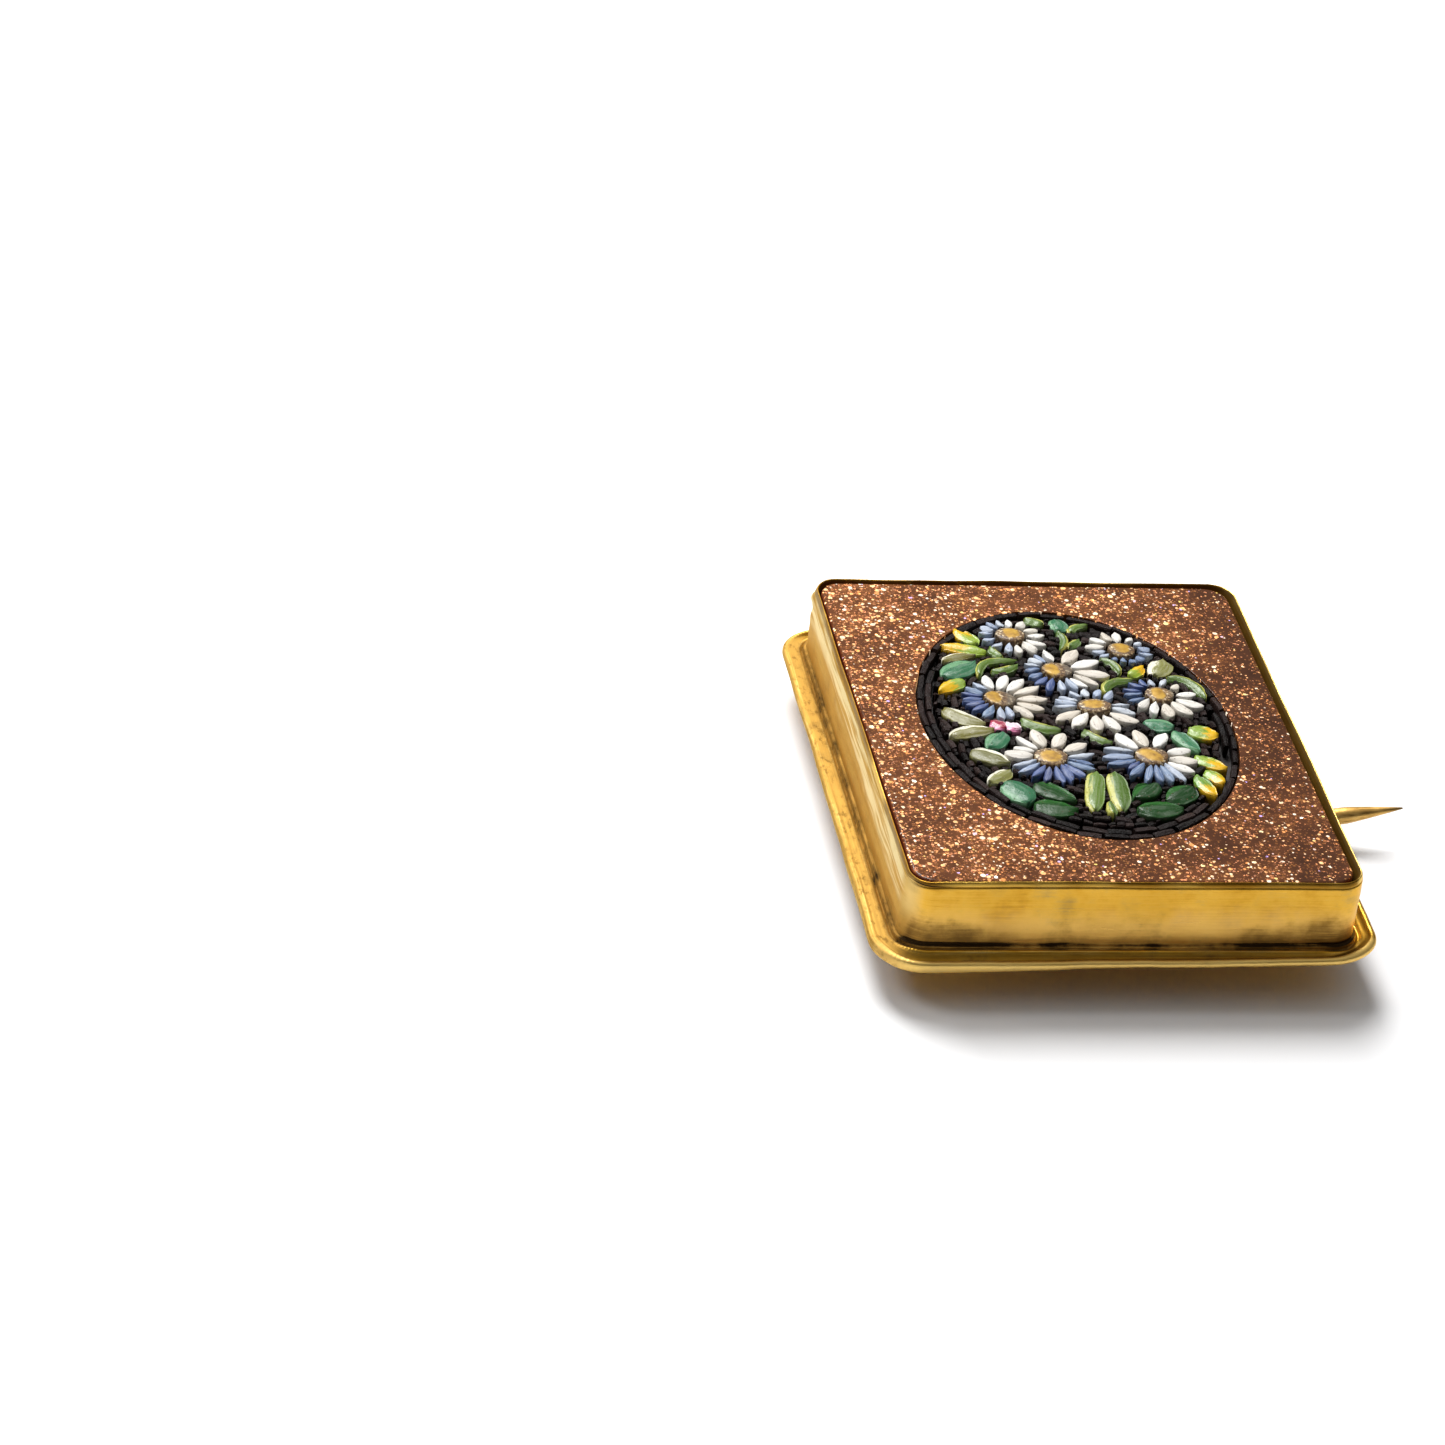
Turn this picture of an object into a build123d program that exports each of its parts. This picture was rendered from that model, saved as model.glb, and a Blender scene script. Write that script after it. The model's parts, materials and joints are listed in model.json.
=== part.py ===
from build123d import *
import math
import os

# A micromosaic brooch: a gilt case holds a plaque of goldstone, and an oval pocket in the
# plaque holds daisies and leaves laid in small glass tesserae. A pin is hinged at the back.
# Millimetres. The brooch lies face up on its hinge and catch: Z 0 is the table, +Y is the top
# of the picture, and +X runs from the hinge towards the pin's point.

# Case: bezel, back sheet and moulded flange
case_width = 25.0
case_height = 31.6
case_corner_radius = 1.5
bezel_wall = 0.35
bezel_rise = 3.88
rim_round = 0.07
back_sheet = 0.55
flange_reach = 1.4
flange_height = 0.67
lip_radius = 0.2
bead_radius = 0.13
bead_height = 0.5
cove_depth = 0.12
underside_recess = 0.12
solder_overlap = 0.2

# Goldstone plaque, loose in the bezel by a different gap on each side
gap_left = 0.1
gap_right = 0.36
gap_front = 0.08
gap_back = 0.2
plaque_below_rim = 0.12
plaque_corner_radius = 1.2
plaque_edge_round = 0.22

# Oval pocket and what stands in it
oval_half_width = 8.65
oval_half_height = 11.7
oval_up = 0.5
pocket_depth = 1.5
pocket_clearance = 0.05
bed_thickness = 0.7
border_height = 0.83
petal_height = 1.05
leaf_height = 1.0
eye_height = 1.14
brick_length = 1.42
brick_gap = 0.12

# Pin, hinge and catch on the back
stem_radius = 0.48
stem_below_back = 1.6
hinge_from_centre = 9.5
pin_line_up = -0.9
straight_to = 9.66
bend_radius = 20.0
bend_angle = 9.0
straight_end = 3.2
point_length = 3.3
point_radius = 0.06
eye_radius = 0.85
eye_width = 1.9
rivet_radius = 0.35
rivet_clearance = 0.05
rivet_play_in_lug = 0.02
rivet_head_radius = 0.6
rivet_head_height = 0.25
rivet_head_gap = 0.03
lug_radius = 1.0
lug_width = 1.25
lug_side_gap = 0.09
foot_thickness = 0.3
foot_margin = 0.35
catch_from_centre = 10.1
catch_width = 1.9
catch_thickness = 0.42
catch_inner_radius = 0.62
catch_wrap_angle = 200.0
catch_side_gap = 0.3

# Heights above the table, worked out from the sizes above
back_z = lug_radius + stem_below_back
flange_z = back_z - underside_recess
seat_z = back_z + back_sheet
rim_z = flange_z + flange_height + bezel_rise
plaque_top_z = rim_z - plaque_below_rim
pocket_z = plaque_top_z - pocket_depth
bed_z = pocket_z + bed_thickness

# Places across the brooch, worked out from the case's centre
bend_run = bend_radius * math.sin(math.radians(bend_angle))
bend_lift = bend_radius * (1 - math.cos(math.radians(bend_angle)))
end_run = (straight_end + point_length) * math.cos(math.radians(bend_angle))
point_from_centre = straight_to + bend_run + end_run
case_x = (case_width / 2 + flange_reach - point_from_centre) / 2
hinge_x = case_x - hinge_from_centre
catch_x = case_x + catch_from_centre
catch_outer_radius = catch_inner_radius + catch_thickness
catch_y = pin_line_up + stem_radius + catch_side_gap + catch_outer_radius

# Rows of border bricks: outer and inner edge as shares of the picture's oval, and the
# stretch of the oval that the row covers, in degrees from the right-hand side
BORDER_ROWS = [
    # outer, inner, from_deg, to_deg
    (1.018, 0.978, 0.0, 360.0),
    (0.964, 0.925, 152.0, 312.0),
    (0.964, 0.925, -13.0, 6.0),
]

# Daisies: the place of the centre and the petals' reach, across and up, and the eye's size,
# across and up, all as shares of the oval's half width and half height
DAISIES = {
    # name: (across, up, reach_across, reach_up, eye_across, eye_up)
    "left": (-0.457, 0.188, 0.312, 0.2308, 0.104, 0.078),
    "lower_left": (-0.266, -0.329, 0.312, 0.2308, 0.106, 0.077),
    "lower_right": (0.393, -0.316, 0.312, 0.2308, 0.106, 0.077),
    "middle": (0.150, 0.128, 0.312, 0.2308, 0.110, 0.068),
    "upper_middle": (-0.006, 0.449, 0.312, 0.2308, 0.101, 0.076),
    "right": (0.618, 0.244, 0.312, 0.2308, 0.094, 0.072),
    "top_left": (-0.231, 0.773, 0.312, 0.2308, 0.099, 0.073),
    "top_right": (0.486, 0.650, 0.312, 0.2308, 0.090, 0.066),
}

# Fans of like petals: how many, the first and last one's direction in degrees and length as
# a share of the daisy's reach, and the breadth of each in degrees
FANS = [
    # daisy, colour, petals, first_deg, last_deg, first_reach, last_reach, breadth_deg
    ("left", "white", 3, 101, 51, 0.95, 1.03, 24),
    ("left", "white", 4, 26, -49, 1.04, 0.90, 24),
    ("left", "pale_blue", 2, -78, -99, 0.76, 0.80, 19),
    ("left", "mid_blue", 1, -121, -121, 0.83, 0.83, 20),
    ("left", "deep_blue", 4, -142, -196, 0.85, 0.79, 17),
    ("left", "mid_blue", 1, 146, 146, 0.77, 0.77, 17),
    ("left", "pale_blue", 1, 125, 125, 0.77, 0.77, 20),
    ("lower_left", "white", 3, 98, 32, 1.00, 1.00, 27),
    ("lower_left", "pale_blue", 1, 6, 6, 0.96, 0.96, 18),
    ("lower_left", "mid_blue", 2, -13, -33, 0.90, 0.94, 19),
    ("lower_left", "deep_blue", 5, -53, -122, 0.94, 0.96, 16.5),
    ("lower_left", "pale_blue", 2, -139, -156, 1.02, 0.95, 16),
    ("lower_left", "white", 1, 173, 173, 0.95, 0.95, 28),
    ("lower_left", "white", 2, 149, 126, 0.80, 0.95, 19),
    ("lower_right", "white", 3, 125, 62, 1.06, 0.98, 27),
    ("lower_right", "white", 3, 18, -37, 0.90, 0.98, 26),
    ("lower_right", "pale_blue", 1, -57, -57, 1.05, 1.05, 14),
    ("lower_right", "mid_blue", 3, -73, -107, 0.98, 1.00, 16.5),
    ("lower_right", "mid_blue", 1, -126, -126, 1.00, 1.00, 17.5),
    ("lower_right", "deep_blue", 1, -144, -144, 0.78, 0.78, 16),
    ("lower_right", "mid_blue", 1, -162, -162, 1.00, 1.00, 18),
    ("lower_right", "pale_blue", 2, 179, 158, 1.02, 0.98, 18),
    ("middle", "pale_blue", 4, 126, 44, 0.70, 0.70, 22),
    ("middle", "pale_blue", 2, 8, -16, 0.76, 0.86, 20),
    ("middle", "white", 4, -41, -127, 1.02, 1.00, 27),
    ("middle", "white", 1, -153, -153, 1.10, 1.10, 24),
    ("middle", "pale_blue", 3, 183, 149, 0.90, 0.76, 16.5),
    ("upper_middle", "white", 1, 94, 94, 0.80, 0.80, 22),
    ("upper_middle", "white", 3, 56, -7, 1.00, 1.12, 28),
    ("upper_middle", "white", 2, -33, -53, 0.97, 0.82, 20),
    ("upper_middle", "pale_blue", 2, -72, -92, 0.80, 0.82, 18),
    ("upper_middle", "deep_blue", 2, -114, -136, 0.87, 0.81, 19),
    ("upper_middle", "mid_blue", 2, -158, -182, 0.73, 0.68, 20),
    ("upper_middle", "pale_blue", 3, 154, 118, 0.70, 0.72, 17.5),
    ("right", "deep_blue", 3, 164, 120, 0.76, 0.65, 20),
    ("right", "pale_blue", 2, 96, 70, 0.58, 0.63, 20),
    ("right", "white", 2, 36, 1, 0.63, 0.79, 24),
    ("right", "white", 3, -33, -86, 0.98, 0.96, 25),
    ("right", "white", 2, -113, -137, 0.88, 0.82, 20),
    ("right", "mid_blue", 2, -160, -178, 0.80, 0.77, 16),
    ("top_left", "pale_blue", 4, 199, 126, 0.68, 0.65, 22),
    ("top_left", "pale_blue", 1, 103, 103, 0.64, 0.64, 19),
    ("top_left", "white", 1, 80, 80, 0.66, 0.66, 20),
    ("top_left", "white", 4, 54, -31, 0.68, 0.80, 25),
    ("top_left", "white", 2, -54, -80, 0.78, 0.75, 20),
    ("top_left", "pale_blue", 2, -104, -130, 0.70, 0.66, 21),
    ("top_right", "white", 4, 166, 87, 0.77, 0.70, 24),
    ("top_right", "white", 1, 57, 57, 0.54, 0.54, 24),
    ("top_right", "pale_blue", 3, 31, -21, 0.57, 0.68, 23),
    ("top_right", "mid_blue", 4, -46, -122, 0.58, 0.50, 22),
    ("top_right", "pale_blue", 2, -148, -172, 0.60, 0.66, 20),
]

# A petal's outline: how far along it and how much of its breadth it fills there
PETAL_SHAPE = [
    # along, share_of_breadth
    (0.00, 0.60),
    (0.30, 0.74),
    (0.62, 0.80),
    (0.86, 0.58),
]
PETAL_TIP_SHARE = 0.0
petal_start_share = 0.40

# Leaves and odd pieces: the two ends and the middle of each long side, across and up, as
# hundredths of the oval's half width and half height
LEAVES = [
    # colour, base, tip, one_side, other_side
    ("green", (-49.5, -74.5), (-21, -78), (-38, -70), (-37, -82.5)),
    ("teal", (-63, -54.5), (-52, -72.5), (-66, -62.5), (-45.5, -63)),
    ("green", (-44, -56), (-20, -70), (-30, -56.5), (-38, -67)),
    ("cream", (-72, -54), (-55, -43), (-67, -46), (-59, -51)),
    ("lime", (-0.5, -45.5), (-11, -79), (-12.5, -62), (0.5, -59)),
    ("lime", (11, -45), (7, -78), (3, -63), (16, -61)),
    ("lime", (0.5, -71), (0, -82), (-3, -77), (3, -77)),
    ("green", (34, -54.5), (16, -68), (21, -57.5), (32.5, -65)),
    ("green", (58, -57), (37, -69), (44, -58.5), (53, -68.5)),
    ("green", (16, -77), (47, -76), (31, -70.5), (33, -83)),
    ("yellow", (64, -47), (71.5, -65), (62, -57), (72.5, -56.5)),
    ("yellow", (71, -42), (79.5, -54), (72.5, -50), (80, -46)),
    ("yellow", (68, -30), (87, -40), (81, -32), (74, -39)),
    ("cream", (-84, 11.5), (-60, -3), (-70, 6), (-78, -1.5)),
    ("cream", (-87, -14), (-56, -8.5), (-72, -5), (-70, -14)),
    ("teal", (-52, -11), (-65, -24.5), (-65, -17.5), (-51, -20)),
    ("cream", (-77, -27), (-54, -39), (-63, -27), (-68, -38)),
    ("pink", (-54, -2), (-49.5, -8), (-54.5, -5), (-49, -3.5)),
    ("pink", (-45, -2.5), (-44, -9), (-46.5, -6), (-39, -5.5)),
    ("lime", (-37, 1), (-12.5, -8.7), (-23.5, -3.4), (-29.5, -8)),
    ("lime", (2.5, -7), (18, -19.5), (10, -12), (5.2, -16)),
    ("teal", (43, -1), (63, -4.5), (53, 3), (55, -7.5)),
    ("teal", (61.5, -8.5), (73, -26.5), (60.5, -18), (72, -15.5)),
    ("yellow", (71, -6.5), (90, -11.5), (80, -3.5), (83, -16)),
    ("lime", (70, 38.5), (92, 21.5), (88, 35), (83, 31.5)),
    ("teal", (-77, 39), (-52.5, 53), (-67.5, 52.5), (-59, 41.5)),
    ("cream", (-74, 54), (-50, 59.5), (-64, 61), (-62, 56)),
    ("yellow", (-84, 24.5), (-64, 37), (-76, 35.5), (-72, 29)),
    ("yellow", (-50, 82), (-50, 62), (-57, 72), (-46.5, 72)),
    ("yellow", (-68, 67.5), (-58, 64), (-62.5, 70), (-64, 63.5)),
    ("lime", (-54, 41), (-26, 57.5), (-45, 54.5), (-41, 49.5)),
    ("lime", (-41, 70), (-37, 60), (-43.5, 65), (-38, 65)),
    ("lime", (-26, 54), (-34, 44), (-33.5, 50), (-26.5, 46)),
    ("lime", (-9, 93.5), (3, 89), (-1, 95), (-4.5, 89.5)),
    ("teal", (12, 95), (12, 83), (7, 88.5), (19.5, 89)),
    ("lime", (32, 89), (20, 79.5), (22, 87), (28.5, 82)),
    ("lime", (15.5, 82), (8.5, 65), (9, 74), (14.5, 73.5)),
    ("lime", (23, 75), (14.5, 68), (16, 72.5), (20.5, 69.5)),
    ("lime", (34.5, 56), (39, 41), (37, 48.5), (41.5, 48)),
    ("yellow", (47, 42.5), (59.5, 51.5), (51, 48.5), (57, 44.5)),
    ("cream", (64, 42), (74, 56.5), (63, 51), (78.5, 49)),
    ("lime", (27, 26.5), (42, 38), (30, 35), (34.5, 32.5)),
]
leaf_steps = 4

# How a tessera narrows below and above its broadest line, as shares of its outline and height
TESSERA_SHAPE = [
    # height_share, outline_share
    (0.00, 0.90),
    (0.78, 1.00),
    (1.00, 0.80),
]
eye_steps = 14


def on_oval(across, up):
    """A place in the picture, given in shares of the oval, in millimetres."""
    return (case_x + across * oval_half_width, oval_up + up * oval_half_height)


def oval_face(share, clearance=0.0):
    """The oval as a flat face, at a share of its size and grown by a clearance."""
    face = Ellipse(oval_half_width * share + clearance, oval_half_height * share + clearance)
    return Pos(case_x, oval_up, 0) * face


def tessera(outline, height):
    """One chip of glass over an outline: widest near its top, with a bevelled crown."""
    middle_x = sum(point[0] for point in outline) / len(outline)
    middle_y = sum(point[1] for point in outline) / len(outline)
    sections = []
    for height_share, outline_share in TESSERA_SHAPE:
        z = bed_z + height * height_share
        ring = [
            (middle_x + (x - middle_x) * outline_share, middle_y + (y - middle_y) * outline_share, z)
            for x, y in outline
        ]
        sections.append(make_face(Polyline(*ring, close=True)))
    return loft(sections, ruled=True)


def oval_angles(count, from_deg, to_deg):
    """Angles that part a stretch of the oval into equal lengths, ends included."""
    steps = 720
    angles = [math.radians(from_deg + (to_deg - from_deg) * i / steps) for i in range(steps + 1)]
    travelled = [0.0]
    for before, after in zip(angles, angles[1:]):
        across = oval_half_width * (math.cos(after) - math.cos(before))
        up = oval_half_height * (math.sin(after) - math.sin(before))
        travelled.append(travelled[-1] + math.hypot(across, up))
    marks = []
    for i in range(count + 1):
        wanted = travelled[-1] * i / count
        nearest = min(range(steps + 1), key=lambda k: abs(travelled[k] - wanted))
        marks.append(angles[nearest])
    return marks, travelled[-1]


def border_outlines():
    """The bricks of the border, row by row, each as four corners between two ovals."""
    outlines = []
    for outer, inner, from_deg, to_deg in BORDER_ROWS:
        row_length = oval_angles(1, from_deg, to_deg)[1]
        count = max(1, round(row_length / brick_length))
        marks = oval_angles(count, from_deg, to_deg)[0]
        joint_share = brick_gap * count / row_length / 2
        for start, end in zip(marks, marks[1:]):
            first = start + (end - start) * joint_share
            last = end - (end - start) * joint_share
            corners = [(outer, first), (outer, last), (inner, last), (inner, first)]
            outlines.append([on_oval(s * math.cos(a), s * math.sin(a)) for s, a in corners])
    return outlines


def petal_outline(daisy, degrees, reach, breadth_deg):
    """One petal from the eye outwards: its two sides and its tip, in millimetres."""
    across, up, reach_across, reach_up = DAISIES[daisy][:4]
    angle = math.radians(degrees)
    half_breadth = math.tan(math.radians(breadth_deg) / 2)
    left, right = [], []
    for along, share in PETAL_SHAPE:
        out = petal_start_share + (reach - petal_start_share) * along
        side = out * half_breadth * share
        left.append((out, side))
        right.append((out, -side))
    unit = right + [(reach, PETAL_TIP_SHARE)] + left[::-1]
    outline = []
    for out, side in unit:
        turned_across = out * math.cos(angle) - side * math.sin(angle)
        turned_up = out * math.sin(angle) + side * math.cos(angle)
        outline.append(on_oval(across + turned_across * reach_across, up + turned_up * reach_up))
    return outline


def petal_outlines(colour):
    """Every petal of one colour, fan by fan."""
    outlines = []
    for daisy, fan_colour, petals, first_deg, last_deg, first_reach, last_reach, breadth in FANS:
        if fan_colour != colour:
            continue
        for i in range(petals):
            part = i / max(1, petals - 1)
            degrees = first_deg + (last_deg - first_deg) * part
            reach = first_reach + (last_reach - first_reach) * part
            outlines.append(petal_outline(daisy, degrees, reach, breadth))
    return outlines


def eye_outlines():
    """The daisies' eyes, each a rounded chip."""
    outlines = []
    for across, up, _, _, eye_across, eye_up in DAISIES.values():
        turns = [2 * math.pi * i / eye_steps for i in range(eye_steps)]
        ring = [(across + eye_across * math.cos(t), up + eye_up * math.sin(t)) for t in turns]
        outlines.append([on_oval(x, y) for x, y in ring])
    return outlines


def leaf_side(start, middle, end):
    """Points along a side that leaves start, passes middle half way and nears end."""
    points = []
    for i in range(leaf_steps):
        t = i / leaf_steps
        pull = [2 * m - (s + e) / 2 for s, m, e in zip(start, middle, end)]
        points.append(tuple(
            (1 - t) ** 2 * s + 2 * t * (1 - t) * p + t**2 * e for s, p, e in zip(start, pull, end)
        ))
    return points


def leaf_outlines(colour):
    """Every leaf of one colour."""
    outlines = []
    for leaf_colour, base, tip, one_side, other_side in LEAVES:
        if leaf_colour != colour:
            continue
        ring = leaf_side(base, one_side, tip) + leaf_side(tip, other_side, base)
        outlines.append([on_oval(x / 100, y / 100) for x, y in ring])
    return outlines


def field(outlines, height):
    """Loose tesserae of one kind, kept together as one sub-part."""
    return Compound([solid for outline in outlines for solid in tessera(outline, height).solids()])


def case_outline(inset, radius):
    """The case's rounded rectangle, set in from the bezel's outside."""
    width = case_width - 2 * inset
    height = case_height - 2 * inset
    return Pos(case_x, 0, 0) * RectangleRounded(width, height, radius)


def flange():
    """The moulded flange: bead, cove and rounded lip, carried round the case."""
    path = case_outline(0, case_corner_radius).face().outer_wire()
    start = path @ 0
    tangent = path % 0
    outward = tangent.cross(Vector(0, 0, 1))
    if outward.dot(start - Vector(case_x, 0, 0)) < 0:
        outward = -outward
    section = Plane(origin=(start.X, start.Y, flange_z), x_dir=outward, z_dir=outward.cross(Vector(0, 0, 1)))
    lip_centre = flange_reach - lip_radius
    bead_end = 4 * bead_radius
    cove_end = lip_centre - lip_radius * 0.8
    cove_end_z = lip_radius * 1.6
    bead_foot = bead_height - bead_radius
    cove_z = min(bead_foot, cove_end_z) - cove_depth
    foot = Line((-solder_overlap, flange_height), (bead_radius, flange_height))
    drop = Line(foot @ 1, (bead_radius, bead_foot))
    bead = ThreePointArc(drop @ 1, (2 * bead_radius + bead_radius / 2, bead_height), (bead_end, bead_foot))
    cove = ThreePointArc(bead @ 1, ((bead_end + cove_end) / 2, cove_z), (cove_end, cove_end_z))
    lip = ThreePointArc(cove @ 1, (lip_centre + lip_radius, lip_radius), (lip_centre, 0))
    under = Line(lip @ 1, (lip_centre - underside_recess, underside_recess))
    inward = Line(under @ 1, (-solder_overlap, underside_recess))
    back = Line(inward @ 1, foot @ 0)
    profile = make_face([foot, drop, bead, cove, lip, under, inward, back])
    return sweep(section * profile, path=Pos(0, 0, flange_z) * path)


def bezel_box():
    """Back sheet and upright bezel: an open tray with a thinned rim."""
    body = Pos(0, 0, back_z) * extrude(case_outline(0, case_corner_radius), rim_z - back_z)
    inner = case_outline(bezel_wall, case_corner_radius - bezel_wall)
    body -= Pos(0, 0, seat_z) * extrude(inner, rim_z - seat_z)
    rim = body.faces().sort_by(Axis.Z)[-1]
    return fillet(rim.edges(), rim_round)


def hinge_lugs():
    """Two rounded lugs on a soldered foot, bored for the rivet."""
    reach = eye_width / 2 + lug_side_gap + lug_width
    foot_width = 2 * (lug_radius + foot_margin)
    foot_length = 2 * (reach + foot_margin)
    foot_centre = Pos(hinge_x, pin_line_up, back_z - foot_thickness / 2)
    body = foot_centre * Box(foot_width, foot_length, foot_thickness)
    for side in (-1, 1):
        middle = pin_line_up + side * (reach - lug_width / 2)
        lug = Plane.XZ * Circle(lug_radius)
        barrel = Pos(hinge_x, middle, lug_radius) * extrude(lug, lug_width / 2, both=True)
        cheek_height = back_z - lug_radius
        cheek = Box(2 * lug_radius, lug_width, cheek_height)
        body += barrel + Pos(hinge_x, middle, lug_radius + cheek_height / 2) * cheek
    bore = Plane.XZ * Circle(rivet_radius + rivet_play_in_lug)
    body -= Pos(hinge_x, pin_line_up, lug_radius) * extrude(bore, reach + foot_margin, both=True)
    return body


def catch():
    """A strip soldered to the back and curled round: its mouth faces the pin and the back."""
    end = math.radians(-catch_wrap_angle)
    outer = catch_outer_radius
    inner = catch_inner_radius
    leg = back_z - outer
    outer_leg = Line((outer, leg), (outer, 0))
    outer_curl = CenterArc((0, 0), outer, 0, -catch_wrap_angle)
    tongue = Line(outer_curl @ 1, (inner * math.cos(end), inner * math.sin(end)))
    inner_curl = CenterArc((0, 0), inner, 0, -catch_wrap_angle)
    inner_leg = Line((inner, 0), (inner, leg))
    cap = Line(inner_leg @ 1, outer_leg @ 0)
    profile = make_face([outer_leg, outer_curl, tongue, inner_curl, inner_leg, cap])
    strip = extrude(Plane.YZ * profile, catch_width / 2, both=True)
    body = Pos(catch_x, catch_y, outer) * strip
    foot_y = catch_y + (inner + outer) / 2
    foot_size = catch_thickness + 2 * foot_margin
    foot = Box(catch_width + 2 * foot_margin, foot_size, foot_thickness)
    return body + Pos(catch_x, foot_y, back_z - foot_thickness / 2) * foot


def setting():
    """All the soldered gilt metal as one solid."""
    return bezel_box() + flange() + hinge_lugs() + catch()


def goldstone_plaque():
    """The glass slab, seated on the back sheet, with the mosaic's oval pocket."""
    width = case_width - 2 * bezel_wall - gap_left - gap_right
    height = case_height - 2 * bezel_wall - gap_front - gap_back
    slab = RectangleRounded(width, height, plaque_corner_radius)
    middle_x = case_x + (gap_left - gap_right) / 2
    middle_y = (gap_front - gap_back) / 2
    body = Pos(middle_x, middle_y, seat_z) * extrude(slab, plaque_top_z - seat_z)
    body = fillet(body.faces().sort_by(Axis.Z)[-1].edges(), plaque_edge_round)
    pocket = oval_face(BORDER_ROWS[0][0], pocket_clearance)
    return body - Pos(0, 0, pocket_z) * extrude(pocket, pocket_depth)


def mosaic_bed():
    """The dark cement that the tesserae stand in."""
    return Pos(0, 0, pocket_z) * extrude(oval_face(BORDER_ROWS[0][0]), bed_thickness)


def hinge_rivet():
    """The rivet through both lugs, with a head outside each."""
    reach = eye_width / 2 + lug_side_gap + lug_width + rivet_head_gap
    shank = extrude(Plane.XZ * Circle(rivet_radius), reach + rivet_head_height / 2, both=True)
    body = Pos(hinge_x, pin_line_up, lug_radius) * shank
    for side in (-1, 1):
        middle = pin_line_up + side * (reach + rivet_head_height / 2)
        head = extrude(Plane.XZ * Circle(rivet_head_radius), rivet_head_height / 2, both=True)
        body += Pos(hinge_x, middle, lug_radius) * head
    return body


def pin_stem():
    """The pin: an eye on the rivet, a straight wire, a slight bend and a ground point."""
    eye_ring = Circle(eye_radius) - Circle(rivet_radius + rivet_clearance)
    eye = extrude(Plane.XZ * eye_ring, eye_width / 2, both=True)
    wire_start = (eye_radius + rivet_radius + rivet_clearance) / 2
    level = Line((wire_start, 0, 0), (hinge_from_centre + straight_to, 0, 0))
    bend_centre = (hinge_from_centre + straight_to, 0, bend_radius)
    turned = Plane(origin=bend_centre, x_dir=(1, 0, 0), z_dir=(0, -1, 0))
    bend = turned * CenterArc((0, 0), bend_radius, -90, bend_angle)
    slope = Vector(math.cos(math.radians(bend_angle)), 0, math.sin(math.radians(bend_angle)))
    end = Line(bend @ 1, bend @ 1 + slope * straight_end)
    path = Wire([level.edge(), bend.edge(), end.edge()])
    start_plane = Plane(origin=level @ 0, z_dir=(1, 0, 0))
    wire = sweep(start_plane * Circle(stem_radius), path=path)
    point_plane = Plane(origin=end @ 1, z_dir=slope)
    point = loft([point_plane * Circle(stem_radius), point_plane.offset(point_length) * Circle(point_radius)])
    return Pos(hinge_x, pin_line_up, lug_radius) * (eye + wire + point)


def nodes():
    """Every sub-part by its name."""
    parts = {
        "setting": setting(),
        "goldstone_plaque": goldstone_plaque(),
        "mosaic_bed": mosaic_bed(),
        "border_tesserae": field(border_outlines(), border_height),
        "flower_centres": field(eye_outlines(), eye_height),
        "hinge_rivet": hinge_rivet(),
        "pin_stem": pin_stem(),
    }
    for colour in ("white", "pale_blue", "mid_blue", "deep_blue"):
        parts["petals_" + colour] = field(petal_outlines(colour), petal_height)
    for colour in ("green", "teal", "lime", "yellow", "cream", "pink"):
        parts["leaves_" + colour] = field(leaf_outlines(colour), leaf_height)
    return parts


os.makedirs("parts", exist_ok=True)
for name, part in nodes().items():
    export_step(part, "parts/" + name + ".step")
    print(name, len(part.solids()), "solids", round(part.volume, 2), "mm3")
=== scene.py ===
# %% [markdown]
# A micromosaic brooch. A gilt case holds a plaque of goldstone, which is brown glass full of
# copper crystals. An oval pocket in the plaque is packed with chips of coloured glass: eight
# daisies and their leaves on a ground of black rods. The solid model gives the sizes and
# places, and this script gives every surface the shape and finish of the hand-made thing.

# %% Load the frame
import json
import math

import bpy
import numpy as np
from mathutils import Euler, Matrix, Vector


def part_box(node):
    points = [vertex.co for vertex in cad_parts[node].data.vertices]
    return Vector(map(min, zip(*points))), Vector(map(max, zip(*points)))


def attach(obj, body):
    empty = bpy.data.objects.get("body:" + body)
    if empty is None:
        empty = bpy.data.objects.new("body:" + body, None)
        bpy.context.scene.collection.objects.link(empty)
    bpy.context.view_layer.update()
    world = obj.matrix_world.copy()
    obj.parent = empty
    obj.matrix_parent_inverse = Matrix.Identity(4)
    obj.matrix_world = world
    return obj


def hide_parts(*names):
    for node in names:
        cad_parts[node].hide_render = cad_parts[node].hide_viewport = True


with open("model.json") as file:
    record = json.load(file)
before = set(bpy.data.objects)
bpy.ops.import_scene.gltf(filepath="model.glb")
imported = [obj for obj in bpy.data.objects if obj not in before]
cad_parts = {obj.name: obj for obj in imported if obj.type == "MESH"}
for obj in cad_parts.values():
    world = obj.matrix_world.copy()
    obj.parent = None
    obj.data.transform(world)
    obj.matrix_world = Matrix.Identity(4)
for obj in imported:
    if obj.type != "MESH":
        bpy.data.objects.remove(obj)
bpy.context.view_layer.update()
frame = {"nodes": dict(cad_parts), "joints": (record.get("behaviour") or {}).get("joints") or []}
print("nodes", sorted(frame["nodes"]))

# %% [markdown]
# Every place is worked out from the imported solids. The bed of the mosaic gives the centre of
# the case, the plaque gives its seat and its face, and the joint gives the hinge. Lengths are
# written in millimetres and turned into metres by one factor.

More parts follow.
